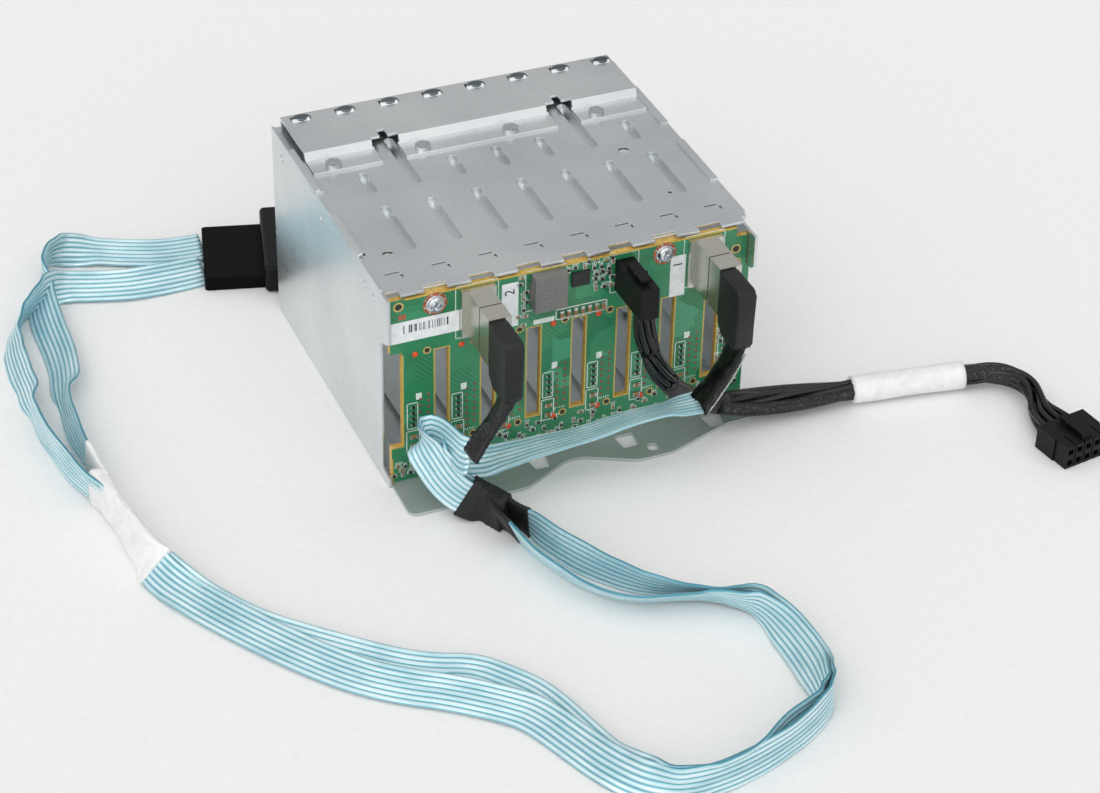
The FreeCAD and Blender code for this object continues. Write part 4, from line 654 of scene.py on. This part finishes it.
def make_lead_wrap(name, leads, start, end, proud, crease, material):
    """Tape wound round one or two flat leads between two places, creased a little; sizes are in millimetres."""
    route, line = leads[0]
    first, last = nearest_row(line, start), nearest_row(line, end)
    luck = random.Random(len(name) + first)
    phases = [luck.uniform(0, 6.28) for _ in range(3)]
    length = (Vector(end) - Vector(start)).length * MM
    wide, thick = RIBBON_WIDTH / 2 + proud * MM, RIBBON_THICK / 2 + proud * MM
    steps = max(12, (last - first) * 2)
    rings = []
    for k in range(steps + 1):
        t = first + (last - first) * k / steps
        low = min(int(t), len(line) - 2)
        here, there, f = line[low], line[low + 1], t - low
        place, along = here[0].lerp(there[0], f), here[1].lerp(there[1], f).normalized()
        across = across_at(route, here[2] + (there[2] - here[2]) * f, along)
        out = across.cross(along).normalized()
        sides, levels = [-wide, wide], [-thick, thick]
        for _, mate in leads[1:]:
            shift = min(mate, key=lambda row: (row[0] - place).length)[0] - place
            sides += [shift.dot(across) - wide, shift.dot(across) + wide]
            levels += [shift.dot(out) - thick, shift.dot(out) + thick]
        left, right, under, over = min(sides), max(sides), min(levels), max(levels)
        centre = place + across * (left + right) / 2 + out * (under + over) / 2
        ring = box_ring(centre, across, out, (right - left) / 2, (over - under) / 2)
        run = length * k / steps
        for j, (point, a) in enumerate(zip(ring, around(len(ring)))):
            wave = (math.sin(a * 3 + phases[0]) * math.sin(run * 260 + phases[1])
                    + math.sin(a * 5 + phases[2] + run * 420))
            ring[j] = point + (point - centre).normalized() * (crease * MM * wave * 0.5)
        rings.append(ring)
    return skin(name, [rings], material)


def make_lead_tube(name, line, start, end, material, radius, shift=None, flat=1.0):
    """A round or slightly flat tube along part of the power lead; radius and shift follow t, in millimetres."""
    first, last = nearest_row(line, start), nearest_row(line, end)
    rings, uvs = [], []
    for row in range(first, last + 1):
        t = (row - first) / (last - first)
        place, along, _, run = line[row]
        side, up = level_frame(along)
        sideways, upward = shift(t) if shift else (0.0, 0.0)
        ring = round_ring(place + side * (sideways * MM) + up * (upward * MM), side, up, radius(t) * MM, flat)
        rings.append(ring)
        uvs += [(j / len(ring), run) for j in range(len(ring))]
    return skin(name, [rings], material, uvs)


both_leads = ((RIBBON_1, ribbon_line_1), (RIBBON_2, ribbon_line_2))
black_wrap, black_tail_1, black_tail_2, white_wrap, white_tail = [
    settle(name, make_lead_wrap(name, leads, start, end, proud, crease, material), *uses)
    for name, leads, start, end, proud, crease, material, uses in (
        ("black_cloth_tape", both_leads, (-50.5, -78, 9), (-39.5, -90.5, 7), 1.15, 0.2, tape_black,
         ("black_wrap", "black_tape_wrap")),
        ("black_tape_tail_1", both_leads[:1], (-44, -84, 7), (-34.5, -99.5, 7), 0.45, 0.15, tape_black,
         ("black_wrap",)),
        ("black_tape_tail_2", both_leads[1:], (-43.5, -86, 7), (-41.5, -101, 7), 0.45, 0.15, tape_black,
         ("black_wrap",)),
        ("white_tape", both_leads, (-166, -72, 6), (-171, -24, 8), 0.5, 0.3, tape_white,
         ("white_wrap", "white_tape_wrap")),
        ("white_tape_tail", both_leads[:1], (-169.5, -28, 8), (-170, -6, 7.5), 0.45, 0.2, tape_white,
         ("white_wrap",)),
    )]


# ---------------------------------------------------------------- crinkled sleeves under the port plugs

SLEEVE_STEP = 0.8 * MM


def make_sleeve(name, path, wide, thick, turn, crumple=0.5, shift=0.0, material=sleeve_gloss):
    """A flattened shrink sleeve, crinkled along its whole length, or a bright strip down its edge that is a
    painted highlight.

    wide is half the width and the waist taken from it, thick is half the thickness and its taper, and turn is
    the whole twist. The highlight strip is round, as thick as it says, and lies at shift times half the sleeve's
    width.
    """
    line = even_line(*spline_points(name, path), SLEEVE_STEP)
    rings = []
    for k, (place, along, _, _) in enumerate(line):
        t = k / (len(line) - 1)
        twist = Matrix.Rotation(turn * t, 3, along)
        across = (Vector((0, 1, 0)) - along * along.y).normalized()
        out = twist @ across.cross(along).normalized()
        across = twist @ across
        half_wide = (wide[0] - wide[1] * math.sin(math.pi * t)) * MM
        half_thick = (thick[0] - thick[1] * t) * MM
        centre = place + across * (half_wide * shift)
        ring = box_ring(centre, across, out, half_thick if shift else half_wide, half_thick, 40, 0.75)
        for j, point in enumerate(ring):
            fine = Vector((point.x * 900, point.y * 250, point.z * 900))
            fold = noise_field(point * 260) + 0.6 * noise_field(fine)
            ring[j] = point + (point - centre).normalized() * (crumple * MM * fold)
        rings.append(ring)
    return skin(name, [rings], material)


SLEEVE_2 = [(-37.6, -84.5, 55), (-38.4, -84.2, 51), (-42, -83.4, 43.5), (-47, -82.4, 35.5), (-50.4, -82.2, 30.5),
            (-51, -82.2, 29.5)]
SLEEVE_1 = [(51.4, -84.5, 55), (50.6, -84.3, 51), (47.5, -83.6, 43), (43.5, -82.8, 35.5), (39.5, -82.3, 29.5),
            (38, -82.2, 27.5)]
SEAM_HIGHLIGHT = [(52.2, -84.5, 52), (51.2, -84.3, 49), (48.4, -83.6, 42), (44.3, -82.8, 35), (40.3, -82.3, 29.3),
        (39, -82.2, 28)]
settle("port_sleeve_2", make_sleeve("port_sleeve_2", SLEEVE_2, (5.3, 1.1), (1.9, 0.4), -0.1),
       "black_wrap", "sas_sleeve_2")
settle("port_sleeve_1", make_sleeve("port_sleeve_1", SLEEVE_1, (5.7, 0.5), (1.5, 0.2), -0.15),
       "black_wrap", "sas_sleeve_1")
# painted highlight: a bright strip in the tinned-solder finish down the edge of sleeve 1
settle("port_sleeve_seam", make_sleeve("port_sleeve_seam", SEAM_HIGHLIGHT, (5.7, 0.5), (0.35, 0.0), -0.15, 0.12, -0.93,
                                       solder), "black_wrap")


# ---------------------------------------------------------------- the power lead

WIRE_STEP = 1.5 * MM
STRAND_COUNT = 8
STRAND_RADIUS = 1.25 * MM
BUNDLE_RADIUS = 2.75 * MM
BUNDLE_TWIST = 38  # radians to the metre
CELL_PITCH, CELL_RISE = 3.8 * MM, 1.8 * MM
FAN_START = 0.86


def make_power_wires(name, node):
    """Eight insulated wires, loosely twisted in the lead and fanned out to the plug's cells, and their line."""
    line = even_line(*spline_points("power_lead", POWER_LEAD), WIRE_STEP)
    tubes, uvs = [], []
    for k in range(STRAND_COUNT):
        reach = BUNDLE_RADIUS if k else 0.0
        cell_side, cell_up = (k % 4 - 1.5) * CELL_PITCH, CELL_RISE if k < 4 else -CELL_RISE
        rings = []
        for row, (place, along, _, run) in enumerate(line):
            side, up = level_frame(along)
            turn = 2 * math.pi * k / (STRAND_COUNT - 1) + run * BUNDLE_TWIST
            loose = reach * (1 + 0.12 * math.sin(run * 190 + k * 2.1))
            fan = eased(max(0.0, (row / (len(line) - 1) - FAN_START) / (1 - FAN_START)))
            middle = (place + side * (loose * math.cos(turn) * (1 - fan) + cell_side * fan)
                      + up * (loose * math.sin(turn) * (1 - fan) + cell_up * fan))
            ring = round_ring(middle, side, up, STRAND_RADIUS, count=10)
            rings.append(ring)
            uvs += [(j / len(ring), run) for j in range(len(ring))]
        tubes.append(rings)
    return settle(name, skin(name, tubes, wire_black, uvs), "black_wire", node), line


wires, wire_line = make_power_wires("power_wires", "power_lead")
shrink = settle("power_lead_shrink", make_lead_tube(
    "power_lead_shrink", wire_line, (31, -69.5, 31), (59, -63.5, 9.5), sleeve_black,
    lambda t: 4.35 - 0.35 * math.sin(math.pi * t), flat=0.92), "black_wrap")
for count, side in enumerate((-1, 0, 1)):
    name = "braided_bundle_%d" % (count + 1)
    settle(name, make_lead_tube(
        name, wire_line, (54, -63.7, 11), (113, -68.4, 6), braid, lambda t: 2.7 - 0.3 * t,
        lambda t: (side * 4.9 * math.sin(math.pi * (0.2 + 0.72 * min(1.0, t * 1.05))), 0.0 if side else 0.5)),
        "black_wrap")
label_sleeve = settle("lead_label", make_lead_tube(
    "lead_label", wire_line, (110, -68, 6), (155, -74.5, 6), tape_white, lambda t: 5.5 + 0.12 * math.sin(t * 9),
    flat=0.94), "white_wrap", "lead_label_sleeve")
end_sleeve = settle("lead_end_braid", make_lead_tube(
    "lead_end_braid", wire_line, (153.5, -74.3, 6), (174.8, -88.5, 6), braid, lambda t: 3.9 - 0.5 * t),
    "black_wrap", "lead_end_sleeve")


# ---------------------------------------------------------------- small parts of the board

BOARD_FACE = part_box("backplane_board")[0].y


def on_board(x, z, out=0.0):
    """A place on the board's rear face, in millimetres from the frame's origin."""
    return Vector((x * MM, BOARD_FACE - out * MM, z * MM))


def block_mesh(name, boxes, bevel=0.0):
    """A mesh of a few blocks, each (x, out, z) centre and size in millimetres, with softened edges."""
    work = bmesh.new()
    for (cx, cy, cz), (wx, wy, wz) in boxes:
        for v in bmesh.ops.create_cube(work, size=1.0)["verts"]:
            v.co = Vector((cx + v.co.x * wx, -cy + v.co.y * wy, cz + v.co.z * wz)) * MM
    if bevel:
        bmesh.ops.bevel(work, geom=list(work.edges), offset=bevel * MM, segments=1, affect="EDGES")
    mesh = bpy.data.meshes.new(name)
    work.to_mesh(mesh)
    work.free()
    return mesh


def turned_mesh(name, profile, count=16, **looks):
    """A small turned part that faces -Y; its profile is (radius, rise) in millimetres, from the board out."""
    rows = [[Vector((r * math.cos(a), -rise, r * math.sin(a))) * MM for a in around(count)]
            for r, rise in profile]
    return skin(name, [rows], **looks)


def ring_mesh(name, outer, inner, rise, count=16):
    """A flat washer or pad, sizes in millimetres."""
    profile = [(outer, 0.0), (outer, rise), (inner, rise), (inner, 0.0)]
    return turned_mesh(name, profile, count, smooth=False, capped=False)


def disc_mesh(name, radius, rise, dome=0.0, count=16):
    """A small round pad or lens, sizes in millimetres, crowned by dome."""
    profile = [(radius, 0.0), (radius, rise), (radius * 0.72, rise + dome * 0.7),
               (radius * 0.35, rise + dome * 0.95)]
    return turned_mesh(name, profile, count, smooth=dome > 0)


def copies_tree(name, material):
    """A tree that puts a part on every point, turned and sized by the point's own values, as one real mesh."""
    tree = bpy.data.node_groups.new(name, "GeometryNodeTree")
    for label, kind in (("Points", "NodeSocketGeometry"), ("Part", "NodeSocketObject"),
                        ("Size", "NodeSocketFloat")):
        tree.interface.new_socket(label, in_out="INPUT", socket_type=kind)
    tree.interface.new_socket("Parts", in_out="OUTPUT", socket_type="NodeSocketGeometry")
    start = add(tree, "NodeGroupInput")
    part = add(tree, "GeometryNodeObjectInfo", links={"Object": (start, "Part")})
    turn = add(tree, "GeometryNodeInputNamedAttribute", {"data_type": "FLOAT_VECTOR", "Name": "turn"})
    grow = add(tree, "GeometryNodeInputNamedAttribute", {"data_type": "FLOAT_VECTOR", "Name": "grow"})
    scaled = add(tree, "ShaderNodeVectorMath", {"operation": "SCALE"}, {0: grow, "Scale": (start, "Size")})
    put = add(tree, "GeometryNodeInstanceOnPoints", links={"Points": (start, "Points"), "Rotation": turn,
                                                           "Instance": (part, "Geometry"), "Scale": scaled})
    real = add(tree, "GeometryNodeRealizeInstances", links={"Geometry": put})
    coat = add(tree, "GeometryNodeSetMaterial", {"Material": material}, {"Geometry": real})
    add(tree, "NodeGroupOutput", links={0: coat})
    return tree


def set_inputs(modifier, **values):
    """Sets a tree's named inputs on its modifier by their identifiers."""
    for item in modifier.node_group.interface.items_tree:
        if item.item_type == "SOCKET" and item.in_out == "INPUT" and item.name in values:
            modifier[item.identifier] = values[item.name]


def repeat_part(name, part_mesh, places, material, turns=None, grows=None, slot="green_board"):
    """One mesh of the same small part at many places, made by a geometry tree and then kept as plain mesh."""
    points = bpy.data.meshes.new(name)
    points.from_pydata(places, [], [])
    for label, values, rest in (("turn", turns, (0, 0, 0)), ("grow", grows, (1, 1, 1))):
        layer = points.attributes.new(label, "FLOAT_VECTOR", "POINT")
        for k in range(len(places)):
            layer.data[k].vector = values[k] if values else rest
    host, part = place_object(name + "_places", points), place_object(name + "_part", part_mesh)
    copies = host.modifiers.new("copies", "NODES")
    copies.node_group = copies_tree(name + " copies", material)
    set_inputs(copies, Part=part, Size=1.0)
    mesh = bpy.data.meshes.new_from_object(host.evaluated_get(bpy.context.evaluated_depsgraph_get()))
    mesh.name = name
    bpy.data.objects.remove(host)
    bpy.data.objects.remove(part)
    bpy.data.meshes.remove(points)
    settle(name, mesh, slot)


def flat_plates(name, rects, rise, material, out=0.0):
    """Thin plates on the board, or out from it: (left, low, right, high) in millimetres."""
    boxes = [(((a + c) / 2, rise / 2, (b + d) / 2), (c - a, rise, d - b)) for a, b, c, d in rects]
    mesh = block_mesh(name, boxes)
    mesh.transform(Matrix.Translation(on_board(0, 0, out)))
    mesh.materials.append(material)
    settle(name, mesh, "green_board")


def frame_rects(left, low, right, high, line=0.3):
    """The four strokes of a printed frame."""
    return [(left, low, right, low + line), (left, high - line, right, high),
            (left, low, left + line, high), (right - line, low, right, high)]


UPRIGHT, QUARTER = (0, 0, 0), (0, math.radians(90), 0)
FILM_SIZE = (1.25, 1.1, 1.2)
# Close groups of small parts: left, low, right, high, how many.
GROUPS = ((-69.0, 2.6, -58.0, 8.4, 9), (-56.0, 2.4, -38.0, 7.0, 12), (-36.0, 2.4, 60.0, 7.6, 58),
          (-30.0, 9.0, 58.0, 13.6, 26), (7.6, 66.0, 16.2, 79.8, 26), (-21.0, 58.0, -17.4, 79.5, 9),
          (-2.0, 77.6, 7.0, 79.8, 5), (27.2, 57.0, 33.0, 62.0, 5), (60.5, 30.0, 68.0, 56.0, 12),
          (60.0, 5.0, 69.0, 24.0, 10))
GROUP_GAP_WIDE, GROUP_GAP_TALL = 2.3, 1.7


def make_board_parts():
    """Everything soldered or printed on the board's rear face."""
    luck = random.Random(11)
    films, ceramics, printed = [], [], []
    for k in range(BAYS):
        x = BAY * (k - 3.5) + (0.4 if k else 0.9)
        # a ladder of four film resistors, and two ceramic capacitors below it
        printed += frame_rects(x - 2.3, 23.3, x + 2.1, 34.9, 0.35)
        films += [(on_board(x + 0.2, 25.3 + 2.55 * row), UPRIGHT, FILM_SIZE) for row in range(4)]
        printed += frame_rects(x - 2.6, 13.1, x + 2.6, 22.6, 0.35)
        ceramics += [(on_board(x + 0.2, 15.7 + 4.2 * row), UPRIGHT, (1.7, 1.5, 2.0)) for row in range(2)]
        printed.append((x + 1.3, 35.9, x + 3.5, 38.7))
        for left in (x + 2.9 + 0.9 * step for step in range(5)):
            printed.append((left, 17.2 + luck.uniform(-.3, .3), left + 0.3, 18.0))
    # the row of seven under the coil
    ceramics += [(on_board(-4.0 + 2.75 * k, 59.2), QUARTER, (2.0, 2.2, 1.9)) for k in range(7)]
    printed += frame_rects(-6.2, 57.0, 14.2, 61.7, 0.45)
    printed.append((-14.8, 57.2, -6.6, 59.2))
    for left, low, right, high, many in GROUPS:
        taken = []
        for _ in range(many * 6):
            x, z = luck.uniform(left, right), luck.uniform(low, high)
            if len(taken) >= many or any(abs(x - a) < GROUP_GAP_WIDE and abs(z - b) < GROUP_GAP_TALL
                                         for a, b in taken):
                continue
            taken.append((x, z))
            turn, wide, tall = (QUARTER, 0.75, 1.3) if luck.random() < 0.4 else (UPRIGHT, 1.3, 0.75)
            if luck.random() < 0.35:
                ceramics.append((on_board(x, z), turn, (1.1, 1.0, 1.1)))
            else:
                films.append((on_board(x, z), turn, FILM_SIZE))
            printed += frame_rects(x - wide, z - tall, x + wide, z + tall, 0.22)
            if luck.random() < 0.6:
                # short strokes stand for a part's mark
                for stroke in range(luck.choice((2, 3, 4))):
                    a = x - 1.0 + stroke * 0.75
                    printed.append((a, z + tall + 0.25, a + luck.uniform(.25, .5), z + tall + 1.0))
    small_body = block_mesh("small_body", [((0, .28, 0), (1.0, .5, .78))], 0.05)
    small_ends = block_mesh("small_ends", [((side * .66, .26, 0), (.4, .52, .84)) for side in (-1, 1)], 0.05)
    for name, mesh, rows, finish in (("film_resistors", small_body, films, resistor),
                                     ("ceramic_capacitors", small_body, ceramics, capacitor),
                                     ("soldered_ends", small_ends, films + ceramics, solder)):
        places, turns, grows = zip(*rows)
        repeat_part(name, mesh, places, finish, turns, grows)
    # printed frames round the ports, the header and the coil
    for middle in (52.25, -36.75):
        printed += frame_rects(middle - 8.2, 58.6, middle + 8.4, 81.0)
    printed += frame_rects(14.9, 63.6, 26.2, 80.0) + frame_rects(-18.2, 63.6, -2.0, 81.0)
    flat_plates("board_print", printed, 0.03, ink)
    low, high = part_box("backplane_board")
    left, right, top = low.x / MM, high.x / MM, high.z / MM
    flat_plates("laminate_edges",
                [(left + 5.9, top - 0.75, right - 5.9, top), (left + 0.05, 0.5, left + 0.6, 11.6)], 0.04, laminate)


SCREW_PLACES = ((-52.6, 75.9), (36.4, 75.9))
VIAS_ROUND_PAD, VIA_REACH = 8, 3.9


def make_vias_and_lamps():
    """Copper pins of the drive connectors, status lenses, and the plated holes beside them, whose openings are
    dark discs of painted shade.
    """
    pins, lenses, holes = [], [], []
    for k in range(BAYS):
        middle = BAY * (k - 3.5)
        for row in range(7):
            pins += [on_board(middle + 4.0, 19.4 + 2.75 * row), on_board(middle + 7.0, 20.8 + 2.75 * row)]
    for k in range(-3, 4):
        slot_x = BAY * k + SLOT_SHIFT
        if k != 3:
            lenses.append(on_board(slot_x - 10.2, 56.0))
            holes.append(on_board(slot_x - 5.6, 56.6))
            holes.append(on_board(slot_x + 12.0, 15.2))
        lenses.append(on_board(slot_x + 8.2, 14.6))
    corners = [on_board(-66.3, 77.6), on_board(65.4, 71.0), on_board(65.8, 65.0)]
    pads = [on_board(x, z) for x, z in SCREW_PLACES]
    dots = [on_board(x + VIA_REACH * math.cos(a), z + VIA_REACH * math.sin(a), 0.06) for x, z in SCREW_PLACES
            for a in [turn + 0.3 for turn in around(VIAS_ROUND_PAD)]]
    for name, mesh, places, finish in (
        ("connector_pins", disc_mesh("pin", 0.58, 0.06, 0.12, 10), pins, pin_copper),
        ("status_lenses", disc_mesh("lens", 1.15, 0.25, 0.35), lenses, red_dot),
        ("plated_holes", disc_mesh("hole", 1.1, 0.02), holes, hole_and_gap_shade),
        ("hole_rims", ring_mesh("rim", 1.55, 1.05, 0.05), holes, solder_rim),
        ("corner_holes", disc_mesh("corner_hole", 1.4, 0.02), corners, hole_and_gap_shade),
        ("corner_rims", ring_mesh("corner_rim", 2.0, 1.35, 0.05), corners, solder_rim),
        ("screw_pads", ring_mesh("pad", 4.6, 3.2, 0.06, 32), pads, copper),
        ("pad_vias", disc_mesh("pad_via", 0.42, 0.05, 0.1, 10), dots, solder),
    ):
        repeat_part(name, mesh, places, finish)
    flat_plates("square_pads", [(-66.4, 72.0, -63.6, 74.0)], 0.08, copper)


LABEL_RISE = 0.1
NUMBER_SIZE = 5.4


def make_labels():
    """A plain bar label and two port numbers."""
    bars, luck = [], random.Random(5)
    x = -64.6
    while x < -47.5:
        wide = luck.choice((.22, .22, .4, .6))
        if luck.random() < 0.75:
            bars.append((x, 66.0, x + wide, 69.3))
        x += wide + luck.choice((.25, .4, .7))
    flat_plates("bar_label", [(-69.4, 62.2, -43.4, 71.0)], LABEL_RISE, paper)
    flat_plates("bar_label_print", bars, 0.03, print_black, LABEL_RISE)
    flat_plates("port_labels", [(-27.2, 58.7, -20.8, 77.5), (39.0, 56.0, 45.1, 73.6)], LABEL_RISE, paper)
    turn = Matrix.Rotation(math.radians(90), 4, "X") @ Matrix.Rotation(math.radians(90), 4, "Z")
    for number, x, z in (("2", -24.0, 73.6), ("1", 42.05, 69.8)):
        name = "port_number_" + number
        data = bpy.data.curves.new(name, "FONT")
        data.body = number
        data.size = NUMBER_SIZE * MM
        data.extrude = 0.02 * MM
        data.align_x = data.align_y = "CENTER"
        text = place_object(name + "_text", data)
        mesh = bpy.data.meshes.new_from_object(text.evaluated_get(bpy.context.evaluated_depsgraph_get()))
        bpy.data.objects.remove(text)
        mesh.transform(Matrix.Translation(on_board(x, z, LABEL_RISE + 0.02)) @ turn)
        mesh.materials.clear()
        mesh.materials.append(print_black)
        settle(name, mesh, "green_board")


make_board_parts()
make_vias_and_lamps()
make_labels()


# ---------------------------------------------------------------- moulded grips of the two port plugs

def make_grip(name, node):
    """A thin moulded block with rounded back corners and a skirt that leans towards its sleeve."""
    low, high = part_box(node)
    near, far, base, top = low.y, high.y, low.z, high.z
    # the outline of one side, (y, z): the front, the rounded back corner, and the sloping foot
    outline = [(far, base + 4.5 * MM), (far, top - 1.0 * MM), (far - 1.0 * MM, top)]
    outline += [(near + 2.4 * MM * (1 - math.sin(a)), top - 2.4 * MM * (1 - math.cos(a)))
                for a in [math.radians(v) for v in (0, 25, 50, 75, 90)]]
    outline += [(near, base + 3.0 * MM), (near + 1.2 * MM, base + 0.8 * MM), (near + 3.0 * MM, base),
                (far - 3.5 * MM, base + 0.6 * MM)]
    mesh = skin(name, [[[(x, y, z) for y, z in outline] for x in (low.x, high.x)]], overmold_black, rim=0.9)
    mesh.set_sharp_from_angle(angle=math.radians(40))
    settle(name, mesh, "black_overmold", node)


for k in (1, 2):
    make_grip("port_grip_%d" % k, "sas_overmold_%d" % k)


# ---------------------------------------------------------------- folded steel along the top

def folded_strip(name, outline, start, end, material):
    """A bent plate of one outline, (x, z) in millimetres, run along Y from start to end with its ends eased."""
    rings = []
    mx, mz = sum(x for x, _ in outline) / len(outline), sum(z for _, z in outline) / len(outline)
    for y, ease in ((start, 0.75), (start + 0.4, 1.0), (end - 0.4, 1.0), (end, 0.75)):
        rings.append([Vector((mx + (x - mx) * ease, y, mz + (z - mz) * ease)) * MM for x, z in outline])
    settle(name, skin(name, [rings], material, smooth=False), "zinc_steel")


EAR = [(-71.4, 82.2), (-71.5, 83.2), (-70.6, 84.1), (-69.2, 84.3), (-69.2, 83.6), (-70.4, 83.4)]
# painted shade: a thin dark strip in the gap beside each ear
EAR_GAP_SHADE = [(-69.2, 82.5), (-69.2, 82.78), (-68.1, 82.78), (-68.1, 82.5)]
TONGUE_LONG, TONGUE_WIDE = 3.7, 2.2
# a tongue's rounded top: the share of its size, and the height in millimetres
TONGUE = ((1.0, -0.5), (1.0, 0.35), (0.94, 0.68), (0.8, 0.9), (0.55, 1.0), (0.2, 1.03))


def make_folds():
    """The side wall's two folded ears in lighter steel as a painted highlight, a dark strip of painted shade in
    the gap beside each, and a rolled tongue of darker steel as painted shade in each notch of the hood.
    """
    for k, (start, end) in enumerate(((20.8, 52.4), (-24.8, 4.0))):
        # painted highlight: the ears take the lighter hood steel, brighter than the side wall they fold from
        folded_strip("side_ear_%d" % (k + 1), EAR, start, end, hood_steel)
        folded_strip("ear_gap_%d" % (k + 1), EAR_GAP_SHADE, start + 0.6, end - 3.0, hole_and_gap_shade)
    rows = [[Vector((TONGUE_LONG * r * math.cos(a), TONGUE_WIDE * r * math.sin(a), z)) * MM for a in around(28)]
            for r, z in TONGUE]
    places = [Vector(((k - 3.5) * BAY + 1.5, 68.1, 86.75)) * MM for k in range(BAYS)]
    # painted shade: the tongues take a darker copy of the steel
    repeat_part("hood_tongues", skin("tongue", [rows]), places, tongue_shade_steel, slot="zinc_steel")


make_folds()


# ---------------------------------------------------------------- screws and rivets

# shares of a head's radius and of its rise
SCREW_PROFILE = [(1.12, 0.0), (1.12, 0.18), (0.99, 0.24), (0.98, 0.52)]
SCREW_PROFILE += [(math.cos(a) * 0.98, 0.52 + 0.48 * math.sin(a))
                  for a in [math.radians(v) for v in range(12, 90, 6)]]
RECESS_HALF, RECESS_REACH, RECESS_CORE, RECESS_DEEP = 0.62 * MM, 2.0 * MM, 0.95 * MM, 1.1 * MM
RIVET_PROFILE = ((1.0, 0.0), (1.0, 0.35), (0.9, 0.72), (0.72, 0.95), (0.55, 1.0), (0.42, 0.9), (0.36, 0.55),
                 (0.34, 0.1))
RIVET_RISE = 1.3 * MM


def make_screw_head(name, node):
    """A crowned cross-recess head with a washer face."""
    low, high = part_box(node)
    middle, radius = (low + high) / 2, (high.x - low.x) / 2
    rows = []
    for r, rise in SCREW_PROFILE:
        row = []
        for a in around(64):
            x, z = r * radius * math.cos(a), r * radius * math.sin(a)
            arm = min(abs(x), abs(z)) < RECESS_HALF and max(abs(x), abs(z)) < RECESS_REACH
            sunk = RECESS_DEEP if arm or math.hypot(x, z) < RECESS_CORE else 0.0
            row.append((middle.x + x, BOARD_FACE + (low.y - BOARD_FACE) * rise + sunk, middle.z + z))
        rows.append(row)
    settle(name, skin(name, [rows], screw_nickel, smooth=False), "screw_steel", node)


def make_rivet_head(name, node):
    """A rolled rivet: a raised collar with a dark oval eye."""
    low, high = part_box(node)
    middle, radius = (low + high) / 2, (high.x - low.x) / 2
    rows = []
    for r, rise in RIVET_PROFILE:
        # the eye is wider across than along
        wide, long = (1.25, 0.82) if r < 0.6 else (1.0, 1.0)
        rows.append([(middle.x + r * radius * wide * math.cos(a), middle.y + r * radius * long * math.sin(a),
                      high.z - RIVET_RISE * (1 - rise)) for a in around(40)])
    settle(name, skin(name, [rows], bright_steel), "rivet_steel")


for k in (1, 2):
    make_screw_head("screw_head_%d" % k, "board_screw_%d" % k)
for k in (1, 2, 3, 4):
    make_rivet_head("rivet_collar_%d" % k, "hood_rivet_%d" % k)


# How a CAD node's name starts, and its finish; the first that fits is taken.
FINISHES = (
    (("front_hood",), hood_steel), (("hood_rivet",), bright_steel), (("cage_bottom",), floor_steel),
    (("cage_",), sheet_steel), (("board_screw",), screw_nickel),
    (("port_", "sas_plug", "wide_plug_nose", "wide_plug_latch"), nickel), (("backplane",), solder_mask),
    (("wide_plug_body",), plug_black), (("sas_overmold",), overmold_black), (("sas_sleeve",), sleeve_black),
    (("power_inductor",), ferrite), (("regulator_chip",), chip_epoxy), (("black_tape",), tape_black),
    (("white_tape", "lead_label"), tape_white), (("lead_end",), braid), (("",), black_nylon),
)
for name, piece in nodes.items():
    finish = next(found for starts, found in FINISHES if name.startswith(starts))
    piece.data.materials.clear()
    piece.data.materials.append(finish)
